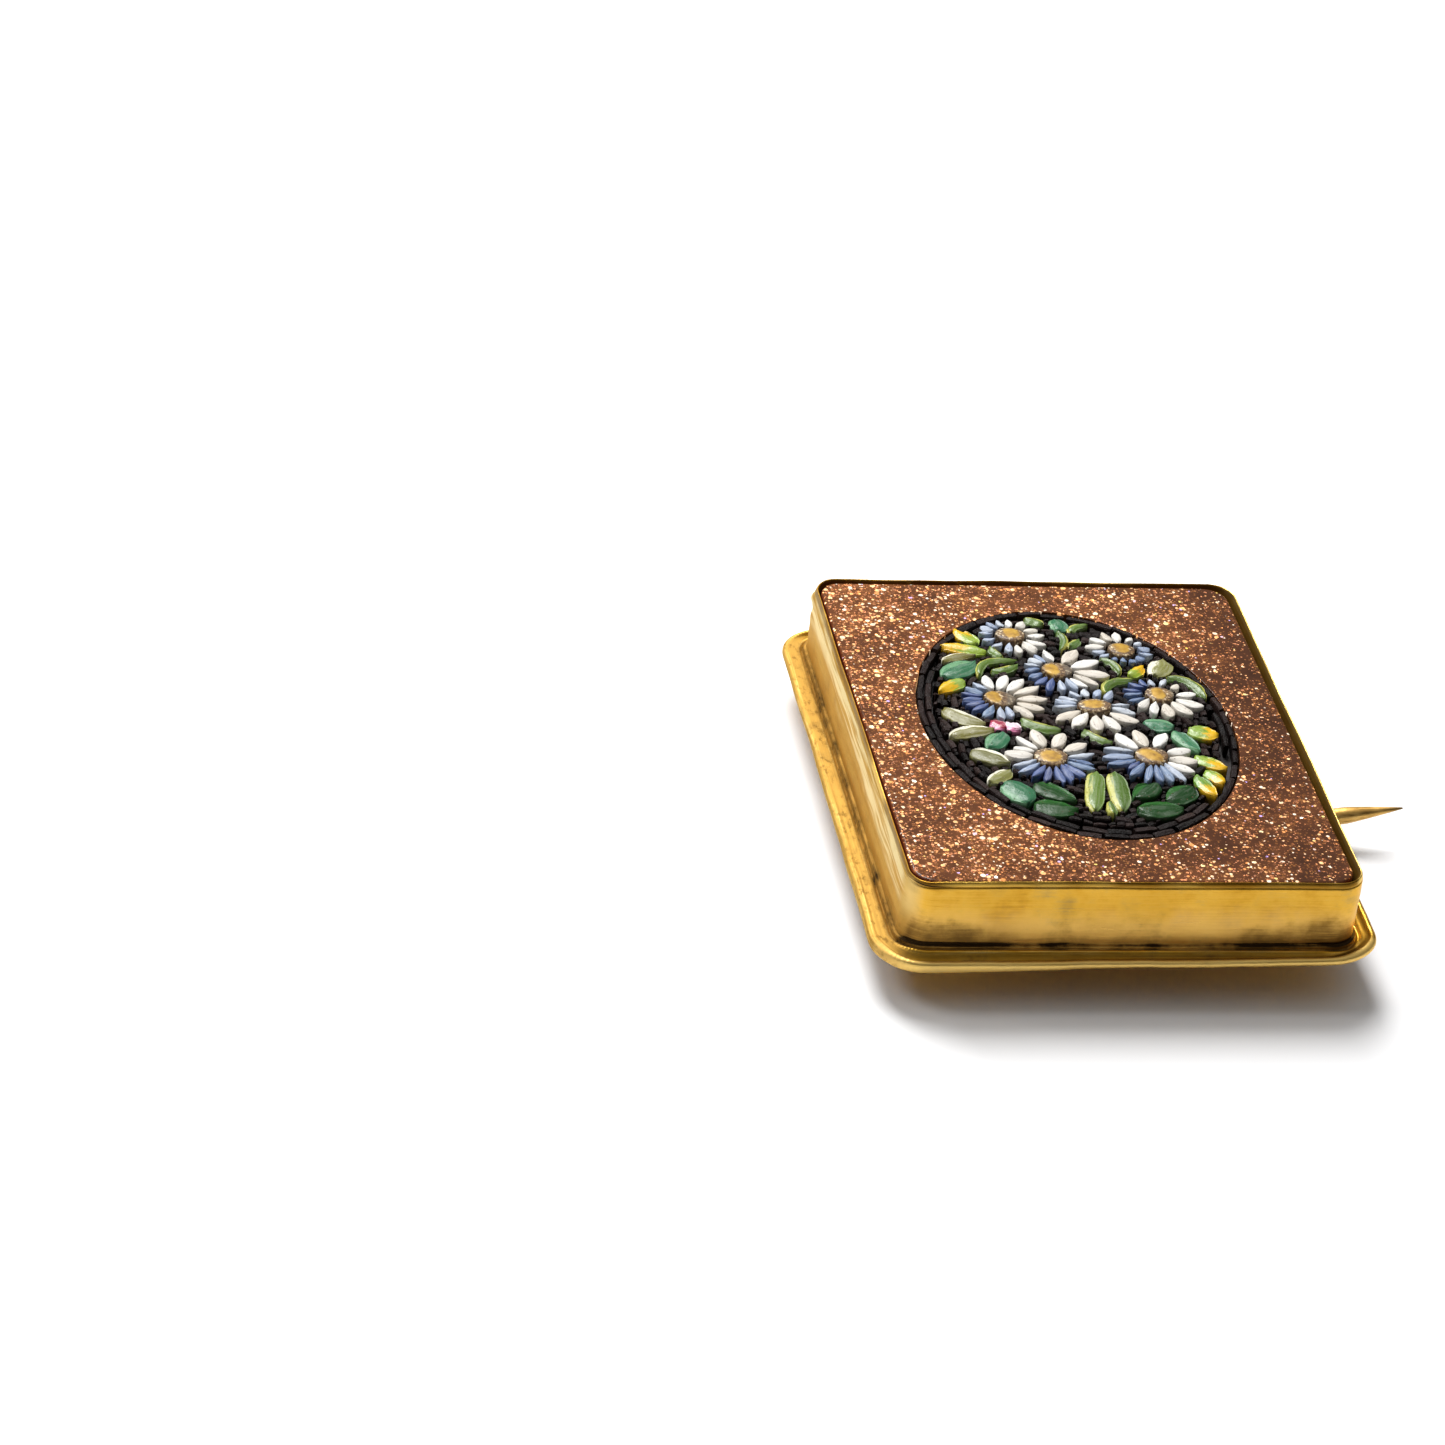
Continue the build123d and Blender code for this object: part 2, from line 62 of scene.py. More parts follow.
# %% Places taken from the frame
mm = 0.001
bed_low, bed_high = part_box("mosaic_bed")
plaque_low, plaque_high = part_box("goldstone_plaque")
setting_low, setting_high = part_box("setting")
case_x = (bed_low.x + bed_high.x) / 2 / mm
oval_up = (bed_low.y + bed_high.y) / 2 / mm
bed_z, rim_z, seat_z, plaque_z = (
    value / mm for value in (bed_high.z, setting_high.z, plaque_low.z, plaque_high.z))
hinge_x, pin_y, hinge_z = (value / mm for value in frame["joints"][0]["pos_m"])
print("case centre", round(case_x, 3), "rim", round(rim_z, 3), "bed", round(bed_z, 3))

# %% [markdown]
# The camera stands where the photographer's did: low in front of the brooch and a little to
# its left, far off with a long lens, so that upright edges stay nearly parallel. The brooch
# lies right of the middle of the picture, so the camera is aimed past its left side instead
# of being shifted.

# %% Camera
photo_px, focal_px, sensor_mm = 1445, 5000, 36
camera_from_case = Vector((-69.33, -227.64, 140.44)) * mm
camera_turn = Euler([math.radians(angle) for angle in (58.706, -5.943, -8.629)])
scene = bpy.context.scene


def add_object(name, data):
    """Puts a mesh, lamp or camera into the scene, at the origin and unturned."""
    thing = bpy.data.objects.new(name, data)
    scene.collection.objects.link(thing)
    return thing


camera_data = bpy.data.cameras.new("camera")
camera_data.sensor_fit = "HORIZONTAL"
camera_data.sensor_width = sensor_mm
camera_data.lens = focal_px / photo_px * sensor_mm
camera_data.clip_start = 0.01
camera_data.clip_end = 10
camera = add_object("camera", camera_data)
camera.location = Vector((case_x * mm, 0, rim_z * mm)) + camera_from_case
camera.rotation_euler = camera_turn
scene.camera = camera
print("lens", round(camera_data.lens, 2), "mm")

# %% [markdown]
# A white table and white soft light, as in a product photograph. The table could be lit until
# it is pure white, but then the soft shadow under the raised edge would go. So it is pale, and
# two large lamps and a bright surround do the rest.

# %% Floor, lamps and surround
def add_lamp(name, place_mm, size_mm, watts):
    """A square soft lamp at a place given from the case's centre, aimed at the case."""
    data = bpy.data.lights.new(name, "AREA")
    data.size = size_mm * mm
    data.energy = watts
    lamp = add_object(name, data)
    lamp.location = Vector((case_x + place_mm[0], place_mm[1], place_mm[2])) * mm
    aim = Vector((case_x, 0, rim_z)) * mm - lamp.location
    lamp.rotation_euler = aim.to_track_quat("-Z", "Y").to_euler()


floor_half = 3.0
signs = ((-1, -1), (1, -1), (1, 1), (-1, 1))
floor_corners = [(x * floor_half, y * floor_half, 0) for x, y in signs]
floor_mesh = bpy.data.meshes.new("floor")
floor_mesh.from_pydata(floor_corners, [], [(0, 1, 2, 3)])
floor = add_object("floor", floor_mesh)
add_lamp("lamp_back", (-45, 190, 255), 170, 1.65)
add_lamp("lamp_left", (-260, 60, 260), 120, 0.3)

sky_up = (0.0, 0.25, 0.92)
sky_range = {"From Min": 0.22, "From Max": 0.95, "To Min": 0.06, "To Max": 0.55}
scene.world = bpy.data.worlds.new("surround")
scene.world.use_nodes = True
sky, sky_link = scene.world.node_tree.nodes, scene.world.node_tree.links.new
sky_place = sky.new("ShaderNodeTexCoord")
sky_height = sky.new("ShaderNodeVectorMath")
sky_height.operation = "DOT_PRODUCT"
sky_height.inputs[1].default_value = sky_up
sky_light = sky.new("ShaderNodeMapRange")
sky_light.interpolation_type = "SMOOTHSTEP"
for socket, value in sky_range.items():
    sky_light.inputs[socket].default_value = value
sky_link(sky_place.outputs["Generated"], sky_height.inputs[0])
sky_link(sky_height.outputs["Value"], sky_light.inputs["Value"])
sky_link(sky_light.outputs["Result"], sky["Background"].inputs["Strength"])
sky["Background"].inputs["Color"].default_value = (1, 1, 1, 1)
scene.view_settings.view_transform = "Standard"
print("floor", 2 * floor_half, "m, lamps and surround set")

# %% [markdown]
# Finishes are written as sums. A small class wraps one output of a node and overloads the
# arithmetic, so that 1 - mask * 0.5 adds the two Math nodes it spells. Colours are written as
# the 0 to 255 values of a screen, which can be compared with a photograph, and turned into the
# linear light that shaders work in.

# %% Shader values that can be added and multiplied
def rgb(red, green, blue):
    """c / 12.92 for the darkest values of c, and otherwise (c + 0.055) / 1.055 to the 2.4."""
    shares = (red / 255, green / 255, blue / 255)
    return tuple(c / 12.92 if c <= 0.04045 else ((c + 0.055) / 1.055) ** 2.4 for c in shares)


class Value:
    """One output of a node inside a finish."""

    def __init__(self, finish, socket):
        self.finish, self.socket = finish, socket

    def math(self, operation, first, second):
        return self.finish.node("Math", {"operation": operation}, {0: first, 1: second})

    def __add__(self, other):
        return self.math("ADD", self, other)

    def __mul__(self, other):
        return self.math("MULTIPLY", self, other)

    def __sub__(self, other):
        return self.math("SUBTRACT", self, other)

    def __rsub__(self, other):
        return self.math("SUBTRACT", other, self)

    def __gt__(self, other):
        return self.math("GREATER_THAN", self, other)

    def __lt__(self, other):
        return self.math("LESS_THAN", self, other)

    __radd__, __rmul__ = __add__, __mul__

    def step(self, low, high):
        """0 below low, 1 above high and smooth between. With high under low it falls."""
        settings = {"interpolation_type": "SMOOTHSTEP"}
        inputs = {"Value": self, "From Min": low, "From Max": high}
        return self.finish.node("MapRange", settings, inputs)

    def band(self, low, full, still, high):
        """Rises from low to full and falls from still to high."""
        return self.step(low, full) * self.step(high, still)


print("screen grey 128 is", round(rgb(128, 128, 128)[0], 3), "in linear light")


# %% [markdown]
# Every other node comes from one method, and a few short ones name the nodes that the finishes
# use most. Colours are mixed by Mix nodes, because a Math node would turn them grey. Only the
# sockets that the closing export can bake are given something that changes over the surface.

# %% A material and its nodes
class Finish:
    """A material being built: the calls that add nodes, and the shader that they feed."""

    def __init__(self, name):
        self.material = bpy.data.materials.new(name)
        self.material.use_nodes = True
        self.tree = self.material.node_tree
        metres = self.node("TexCoord", output="Object")
        self.place = self.node("VectorMath", {"operation": "SCALE"}, {0: metres, "Scale": 1 / mm})

    def feed(self, socket, value):
        if isinstance(value, Value):
            self.tree.links.new(value.socket, socket)
        elif isinstance(value, tuple) and socket.type == "RGBA":
            socket.default_value = (*rgb(*value), 1)
        else:
            socket.default_value = value

    def node(self, kind, settings=None, inputs=None, output=0):
        """Adds a node, sets it up, fills its sockets, and returns one of its outputs."""
        new = self.tree.nodes.new("ShaderNode" + kind)
        for name, value in (settings or {}).items():
            if name == "stops":
                while len(new.color_ramp.elements) < len(value):
                    new.color_ramp.elements.new(1)
                for element, (at, colour) in zip(new.color_ramp.elements, value):
                    grey = isinstance(colour, float)
                    element.position = at
                    element.color = (colour, colour, colour, 1) if grey else (*rgb(*colour), 1)
            else:
                setattr(new, name, value)
        for name, value in (inputs or {}).items():
            self.feed(new.inputs[name], value)
        return Value(self, new.outputs[output])

    def mix(self, factor, low, high):
        return self.node("Mix", {"data_type": "RGBA"}, {0: factor, 6: low, 7: high}, output=2)

    def ramp(self, value, *stops):
        """Colours by value. A stop is a place with a screen colour or a plain amount."""
        return self.node("ValToRGB", {"stops": stops}, {"Fac": value})

    def noise(self, place, scale, detail=3, rough=0.55):
        inputs = {"Vector": place, "Scale": scale, "Detail": detail, "Roughness": rough}
        return self.node("TexNoise", None, inputs)

    def vector(self, operation, *values):
        return self.node("VectorMath", {"operation": operation}, dict(enumerate(values)))

    def xyz(self, x, y, z):
        return self.node("CombineXYZ", None, {0: x, 1: y, 2: z})

    def parts(self, vector):
        split = self.node("SeparateXYZ", None, {0: vector}).socket.node
        return [Value(self, split.outputs[k]) for k in range(3)]

    def cells(self, place, scale, **settings):
        """The distance to the nearest cell's centre, and three random numbers of that cell."""
        distance = self.node("TexVoronoi", settings, {"Vector": place, "Scale": scale}, "Distance")
        colour = Value(self, distance.socket.node.outputs["Color"])
        return [distance] + self.parts(colour)

    def attribute(self, name):
        return self.node("Attribute", {"attribute_name": name}, output="Fac")

    def bump(self, height, strength, distance_mm):
        inputs = {"Height": height, "Strength": strength, "Distance": distance_mm * mm}
        return self.node("Bump", None, inputs, "Normal")

    def shade(self, **sockets):
        """Fills the shader's sockets. An underscore in a name stands for a space."""
        for name, value in sockets.items():
            self.feed(self.tree.nodes["Principled BSDF"].inputs[name.replace("_", " ")], value)
        return self.material


table_finish = Finish("white_table")
floor_mesh.materials.append(
    table_finish.shade(Base_Color=(238.614, 238.614, 239.225), Roughness=0.6))
print("floor finish", floor_mesh.materials[0].name)

# %% [markdown]
# Every new piece is a grid of points worked out with numpy: rings of points carried along a
# path, closed round each ring and either joined end to end or closed by a point at each end.
# One function turns such a grid into faces, and one puts any number of them into a mesh.

# %% From grids of points to meshes
def grid_shell(grid, closed_path=False, attributes=None, uv=None):
    """Points grid[i, j] with i along the path and j round the ring. The faces join (i, j) to
    (i+1, j), (i+1, j+1) and (i, j+1), and an open path gets a pole at each end. The faces are
    turned over if the sum of a . (b x c) over the triangles, six times the volume under
    them, comes out negative. A uv map is for closed paths."""
    along, around = grid.shape[:2]
    steps = along if closed_path else along - 1
    i, j = (index.ravel() for index in np.mgrid[:steps, :around])
    at_i, at_j = np.stack([i, i + 1, i + 1, i], 1), np.stack([j, j, j + 1, j + 1], 1)
    quads = at_i % along * around + at_j % around
    points, tris = grid.reshape(-1, 3), np.zeros((0, 3), int)
    attributes = attributes or {}
    values = {name: value.ravel() for name, value in attributes.items()}
    if uv is not None:
        uv = np.stack([uv[0][at_i], uv[1][at_j]], 2)
    if not closed_path:
        ring, last_ring, pole = np.arange(around), (along - 1) * around, len(points)
        after = (ring + 1) % around
        low = np.stack([ring, after, np.full(around, pole)], 1)
        high = np.stack([after + last_ring, ring + last_ring, np.full(around, pole + 1)], 1)
        tris = np.concatenate([low, high])
        points = np.concatenate([points, [grid[0].mean(0), grid[-1].mean(0)]])
        values = {name: np.append(value, (value[0].mean(), value[-1].mean()))
                  for name, value in attributes.items()}
    corners = np.concatenate([quads[:, [0, 1, 2]], quads[:, [0, 2, 3]], tris])
    a, b, c = (points[corners[:, k]] - points.mean(0) for k in range(3))
    if np.einsum("ij,ij->", a, np.cross(b, c)) < 0:
        quads, tris = quads[:, ::-1], tris[:, ::-1]
        uv = None if uv is None else uv[:, ::-1]
    return {"points": points, "quads": quads, "tris": tris, "attributes": values, "uv": uv}


def build_piece(name, shells, material, slot, replaces=(), body="brooch", smooth=True):
    start = np.cumsum([0] + [len(shell["points"]) for shell in shells])
    points = np.concatenate([shell["points"] for shell in shells]) * mm
    quads, tris = (np.concatenate([shell[key] + first for shell, first in zip(shells, start)])
                   for key in ("quads", "tris"))
    mesh = bpy.data.meshes.new(name)
    mesh.from_pydata(points.tolist(), [], quads.tolist() + tris.tolist(), shade_flat=not smooth)
    for key in shells[0]["attributes"]:
        values = np.concatenate([shell["attributes"][key] for shell in shells])
        mesh.attributes.new(key, "FLOAT", "POINT").data.foreach_set("value", values.astype("f"))
    if shells[0]["uv"] is not None:
        layer = mesh.uv_layers.new(name="along_and_across")
        layer.data.foreach_set("uv", shells[0]["uv"].astype("f").ravel())
    mesh.validate()
    mesh.materials.append(material)
    piece = add_object(name, mesh)
    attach(piece, body)
    if replaces:
        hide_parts(*replaces)
    print(name, "points", len(points), "triangles", 2 * len(quads) + len(tris))


# %% [markdown]
# Handwork is never even. A random number at every point would look like sandpaper, so the
# unevenness is a sum of a few long waves, which is smooth at any fineness of the mesh. The
# other small functions are the curves that the shapes below share.

# %% Curves that many shapes share
def smooth_noise(places, seed, terms=6, period=1.0):
    """A soft random surface: the mean of sine waves of random direction, length and phase."""
    random = np.random.default_rng(seed)
    total = np.zeros(places.shape[:-1])
    for _ in range(terms):
        direction = random.normal(size=places.shape[-1])
        direction *= 2 * np.pi / period * random.uniform(0.5, 1.6) / np.linalg.norm(direction)
        total += np.sin(places @ direction + random.uniform(0, 2 * np.pi))
    return total / terms


def rise(value, low, high):
    """0 below low, 1 above high, and 3t^2 - 2t^3 between."""
    t = np.clip((value - low) / (high - low), 0, 1)
    return t * t * (3 - 2 * t)


def unit(turn):
    """The directions at angles, (cos, sin)."""
    return np.stack([np.cos(turn), np.sin(turn)], -1)


def beside(direction):
    """Directions turned a quarter to the left: (-y, x)."""
    return direction[..., ::-1] * (-1, 1)


def signed_power(values, power):
    """The size of each value to a power, with its sign kept. It squares off a circle."""
    return np.sign(values) * np.abs(values) ** power


def bell(distance, width):
    """1 at no distance, falling as exp(-(distance / width)^2)."""
    return np.exp(-((distance / width) ** 2))


sample = smooth_noise(np.random.default_rng(1).uniform(0, 9, (999, 3)), 2)
print("noise from", round(sample.min(), 2), "to", round(sample.max(), 2))

# %% [markdown]
# The picture is charted, like a needlework chart: every daisy's centre, every fan of
# petals and every leaf stands in a short table, as shares of the oval's half width and half
# height. Tracing each chip would give a long list of points, and scattering petals at random
# would lose the picture. A fan of petals needs only its first and last direction and length.

# %% The chart of the daisies
oval_half = np.array((8.65, 11.7))
W, P, M, D = "white", "pale_blue", "mid_blue", "deep_blue"

DAISIES = [
    # centre and eye's half sizes as shares, then the gold's offset and half sizes in mm
    # and its turn, then the fans: colour, petals, first_deg, last_deg, first_reach,
    # last_reach, breadth_deg
    ((-0.457, 0.188, 0.104, 0.078), (-0.34, 0, 0.46, 0.64, 0), [
        (W, 3, 101, 51, 0.95, 1.03, 24), (W, 4, 26, -49, 1.04, 0.9, 24),
        (P, 2, -78, -99, 0.76, 0.8, 19), (M, 1, -121, -121, 0.83, 0.83, 20),
        (D, 4, -142, -196, 0.85, 0.79, 17), (M, 1, 146, 146, 0.77, 0.77, 17),
        (P, 1, 125, 125, 0.77, 0.77, 20)]),
    ((-0.266, -0.329, 0.106, 0.077), (-0.04, -0.08, 0.66, 0.58, 0), [
        (W, 3, 98, 32, 1, 1, 27), (P, 1, 6, 6, 0.96, 0.96, 18), (M, 2, -13, -33, 0.9, 0.94, 19),
        (D, 5, -53, -122, 0.94, 0.96, 16.5), (P, 2, -139, -156, 1.02, 0.95, 16),
        (W, 1, 173, 173, 0.95, 0.95, 28), (W, 2, 149, 126, 0.8, 0.95, 19)]),
    ((0.393, -0.316, 0.106, 0.077), (-0.05, -0.05, 0.76, 0.5, -38), [
        (W, 3, 125, 62, 1.06, 0.98, 27), (W, 3, 18, -37, 0.9, 0.98, 26),
        (P, 1, -57, -57, 1.05, 1.05, 14), (M, 3, -73, -107, 0.98, 1, 16.5),
        (M, 1, -126, -126, 1, 1, 17.5), (D, 1, -144, -144, 0.78, 0.78, 16),
        (M, 1, -162, -162, 1, 1, 18), (P, 2, 179, 158, 1.02, 0.98, 18)]),
    ((0.15, 0.128, 0.11, 0.068), (-0.05, 0.02, 0.68, 0.47, 0), [
        (P, 4, 126, 44, 0.7, 0.7, 22), (P, 2, 8, -16, 0.76, 0.86, 20),
        (W, 4, -41, -127, 1.02, 1, 27), (W, 1, -153, -153, 1.1, 1.1, 24),
        (P, 3, 183, 149, 0.9, 0.76, 16.5)]),
    ((-0.006, 0.449, 0.101, 0.076), (-0.32, -0.12, 0.46, 0.62, 0), [
        (W, 1, 94, 94, 0.8, 0.8, 22), (W, 3, 56, -7, 1, 1.12, 28), (W, 2, -33, -53, 0.97, 0.82, 20),
        (P, 2, -72, -92, 0.8, 0.82, 18), (D, 2, -114, -136, 0.87, 0.81, 19),
        (M, 2, -158, -182, 0.73, 0.68, 20), (P, 3, 154, 118, 0.7, 0.72, 17.5)]),
    ((0.618, 0.244, 0.094, 0.072), (-0.1, -0.05, 0.44, 0.62, 0), [
        (D, 3, 164, 120, 0.76, 0.65, 20), (P, 2, 96, 70, 0.58, 0.63, 20),
        (W, 2, 36, 1, 0.63, 0.79, 24), (W, 3, -33, -86, 0.98, 0.96, 25),
        (W, 2, -113, -137, 0.88, 0.82, 20), (M, 2, -160, -178, 0.8, 0.77, 16)]),
    ((-0.231, 0.773, 0.099, 0.073), (0.06, 0.03, 0.52, 0.58, 0), [
        (P, 4, 199, 126, 0.68, 0.65, 22), (P, 1, 103, 103, 0.64, 0.64, 19),
        (W, 1, 80, 80, 0.66, 0.66, 20), (W, 4, 54, -31, 0.68, 0.8, 25),
        (W, 2, -54, -80, 0.78, 0.75, 20), (P, 2, -104, -130, 0.7, 0.66, 21)]),
    ((0.486, 0.65, 0.09, 0.066), (0, 0.06, 0.52, 0.52, 0), [
        (W, 4, 166, 87, 0.77, 0.7, 24), (W, 1, 57, 57, 0.54, 0.54, 24),
        (P, 3, 31, -21, 0.57, 0.68, 23), (M, 4, -46, -122, 0.58, 0.5, 22),
        (P, 2, -148, -172, 0.6, 0.66, 20)]),
]
print("daisies", len(DAISIES), "fans", sum(len(fans) for _, _, fans in DAISIES))

# %% [markdown]
# A leaf is charted by four places: its base, its tip and the middle of each side. That is
# enough for a straight leaf, a bent one and a curled stem alike.

# %% The chart of the leaves
LEAVES = {
    # base, tip, middle of one side and of the other, across and up in hundredths
    "green": [
        (-49.5, -74.5, -21, -78, -38, -70, -37, -82.5), (-44, -56, -20, -70, -30, -56.5, -38, -67),
        (34, -54.5, 16, -68, 21, -57.5, 32.5, -65), (58, -57, 37, -69, 44, -58.5, 53, -68.5),
        (16, -77, 47, -76, 31, -70.5, 33, -83)],
    "teal": [
        (-63, -54.5, -52, -72.5, -66, -62.5, -45.5, -63),
        (-52, -11, -65, -24.5, -65, -17.5, -51, -20), (43, -1, 63, -4.5, 53, 3, 55, -7.5),
        (61.5, -8.5, 73, -26.5, 60.5, -18, 72, -15.5), (-77, 39, -52.5, 53, -67.5, 52.5, -59, 41.5),
        (12, 95, 12, 83, 7, 88.5, 19.5, 89)],
    "lime": [
        (-0.5, -45.5, -11, -79, -12.5, -62, 0.5, -59), (11, -45, 7, -78, 3, -63, 16, -61),
        (0.5, -71, 0, -82, -3, -77, 3, -77), (-37, 1, -12.5, -8.7, -23.5, -3.4, -29.5, -8),
        (2.5, -7, 18, -19.5, 10, -12, 5.2, -16), (71, 39.5, 92, 20.5, 88.2, 38, 83.8, 34),
        (-53, 40, -23, 54.5, -46.5, 54.8, -43.5, 51.2), (-40, 66, -33.5, 57, -35, 63, -39.5, 60.5),
        (-44, 45.5, -24.5, 50.5, -35.5, 49.5, -33.5, 44.5), (-9, 93.5, 3, 89, -1, 95, -4.5, 89.5),
        (20, 81.5, 33.5, 89, 21.3, 88.9, 25.2, 85.7), (9.5, 82, 7, 64, 15.2, 74.5, 10.4, 75),
        (23, 75, 14.5, 68, 16, 72.5, 20.5, 69.5), (31, 56, 41, 42.5, 41.5, 54.2, 37.5, 51),
        (27, 25, 49, 38, 30, 36.7, 34, 33)],
    "yellow": [
        (64, -47, 71.5, -65, 62, -57, 72.5, -56.5), (71, -42, 79.5, -54, 72.5, -50, 80, -46),
        (68, -30, 87, -40, 81, -32, 74, -39), (71, -6.5, 90, -11.5, 80, -3.5, 83, -16),
        (-64, 34, -84, 25, -75, 35.2, -72.5, 28), (-46, 71, -59, 84, -48, 80.5, -57, 74.5),
        (-42.5, 61.5, -73, 67, -57, 69.5, -59, 62.3), (47, 42.5, 59.5, 51.5, 51, 48.5, 57, 44.5)],
    "cream": [
        (-72, -54, -55, -43, -67, -46, -59, -51), (-84, 11.5, -60, -3, -70, 6, -78, -1.5),
        (-87, -14, -56, -8.5, -72, -5, -70, -14), (-77, -27, -54, -39, -63, -27, -68, -38),
        (-74, 54, -50, 59.5, -64, 61, -62, 56), (64, 42, 74, 56.5, 63, 51, 78.5, 49)],
    "pink": [
        (-57.5, -1.5, -48.5, -8, -56.5, -6.5, -48.5, -1.5),
        (-48, -3, -39, -8.5, -46.5, -9, -39.5, -2.8)],
}
print("leaves", sum(len(rows) for rows in LEAVES.values()))

# %% [markdown]
# A chip of glass is a bar that was pulled in the flame and snapped to length, so it is widest
# a little under its top, its sides are nearly upright and its crown is softly domed and a bit
# uneven. Two curves, its left and right edge from base to tip, give every kind of chip. Rings
# are carried from one end to the other, each a rounded rectangle drawn out between the edges.

# %% One function for all chips
petal_height, leaf_height, eye_height, rod_height = 0.99, 0.98, 1.02, 0.84


def chips(left, right, height, seed, around=16, rough=0.03, shoulder=0.8, dome=0.3, roof=0.0,
          square=0.45):
    """Left and right edges [chip, step, xy] become rings: across is the cosine of the ring's
    angle to the signed power square, and up is its sine to the 0.6, stretched from the bed to
    the shoulder below and from the shoulder to the crown above. A roof lowers the crown by
    its share of the distance from a ridge line."""
    random = np.random.default_rng(seed)
    count, steps = left.shape[:2]
    angle = 2 * np.pi * (np.arange(around) + 0.5) / around
    across, up = signed_power(np.cos(angle), square), signed_power(np.sin(angle), 0.6)
    above, below = np.clip(up, 0, 1), np.clip(-up, 0, 1)
    along = np.linspace(0, 1, steps)
    top = height + random.uniform(-0.05, 0.05, (count, 1, 1))
    tilt = random.uniform(-0.05, 0.05, (count, 2, 1, 1))
    middle, half = (left + right)[:, :, None] / 2, (left - right)[:, :, None] / 2
    flat = middle + half * (across * (1 - 0.1 * below))[:, None]
    crown = 1 - dome * np.abs(2 * along - 1) ** 3
    lift = (shoulder * (1 - below) + (1 - shoulder) * above * crown[:, None]) * top
    lift += (tilt[:, 0] * (2 * along[:, None] - 1) + tilt[:, 1] * across) * above
    ridge = np.random.default_rng(seed + 3).uniform(-0.35, 0.35, (count, 1, 1))
    lift -= roof * np.abs(across - ridge) * above
    grid = np.concatenate([flat, (bed_z + lift)[..., None]], 3)
    grid[..., 2] += rough * smooth_noise(grid, seed + 1, 7, 0.55) * np.clip(0.5 + up, 0, 1)
    sideways = smooth_noise(grid, seed + 2, 7, 0.45)[..., None] * rough * 0.8
    offset = flat - middle
    grid[..., :2] += offset * sideways / np.maximum(
        np.linalg.norm(offset, axis=-1, keepdims=True), 0.1)
    shape = grid.shape[1:3]
    return [grid_shell(points, attributes={
        "tone": np.full(shape, tone),
        "along": np.broadcast_to(along[:, None], shape),
        "across": np.broadcast_to(across, shape),
        "crown": np.broadcast_to(up, shape),
    }) for points, tone in zip(grid, random.uniform(0, 1, count))]


def ease(steps, blunt):
    """Places from base to tip, closer together at both ends: (1 - cos(pi t)) / 2."""
    t = (1 - np.cos(np.pi * np.linspace(0, 1, steps))) / 2
    return blunt + (1 - 2 * blunt) * t


def on_oval(across, up):
    """Millimetres from shares of the oval's half width and half height."""
    return np.stack([across, up], -1) * oval_half + (case_x, oval_up)


print("oval from", on_oval(-1, -1).round(2), "to", on_oval(1, 1).round(2))


# %% [markdown]
# A petal is a grain of glass, blunt at both ends and a little broader outwards. A fan spreads
# its petals evenly between its first and last, and a little chance in their turn, length and
# bend takes away the look of a machine.

# %% Petals
petal_unit, petal_start, petal_fill = 2.7, 0.36, 0.8


def petal_edges(colour, seed, steps=15):
    """The half width is 1 less the 2.1 power of the distance from the middle, all to the
    0.68, times 0.86 + 0.26 t, where t runs from the eye to the tip."""
    random = np.random.default_rng(seed)
    rows = []
    for (across, up, _, _), _, fans in DAISIES:
        for fan_colour, petals, first_deg, last_deg, first_reach, last_reach, breadth in fans:
            if fan_colour == colour:
                turns = np.linspace(first_deg, last_deg, petals)
                reaches = np.linspace(first_reach, last_reach, petals)
                rows += [(across, up, *pair, breadth) for pair in zip(turns, reaches)]
    across, up, degrees, reach, breadth = np.array(rows).T[..., None]
    degrees = degrees + random.uniform(-1.2, 1.2, degrees.shape)
    reach = reach * petal_unit * random.uniform(0.985, 1.02, reach.shape)
    t = ease(steps, 0.015)
    width = (1 - np.abs(2 * t - 1) ** 2.1) ** 0.68 * (0.86 + 0.26 * t)
    start = petal_start * petal_unit
    widest = start + (reach - start) * 0.6
    half = widest * np.tan(np.radians(breadth / 2)) * petal_fill * width
    bend = random.uniform(-0.08, 0.08, reach.shape) * t**2
    direction = unit(np.radians(degrees) + bend)
    middle = on_oval(across, up) + direction * (start + (reach - start) * t)[..., None]
    side = beside(direction) * half[..., None]
    return middle + side, middle - side


petal_shells, leaf_shells, outlines = {}, {}, []
for order, colour in enumerate((W, P, M, D)):
    left, right = petal_edges(colour, 10 + order)
    petal_shells[colour] = chips(left, right, petal_height, 20 + order, rough=0.045,
                                 shoulder=0.86, roof=0.09)
    outlines += list(np.concatenate([left, right[:, ::-1]], 1))
    print(colour, "petals", len(left))

# %% [markdown]
# A leaf is broader and blunter than a petal. The chart gives its two ends and the middle of
# each side, and its spine is the parabola through the ends and the point between the sides.
# The thin curled stems are the same shape, only narrower, and rounder at their ends.

# %% Leaves
leaf_fill = 1.08


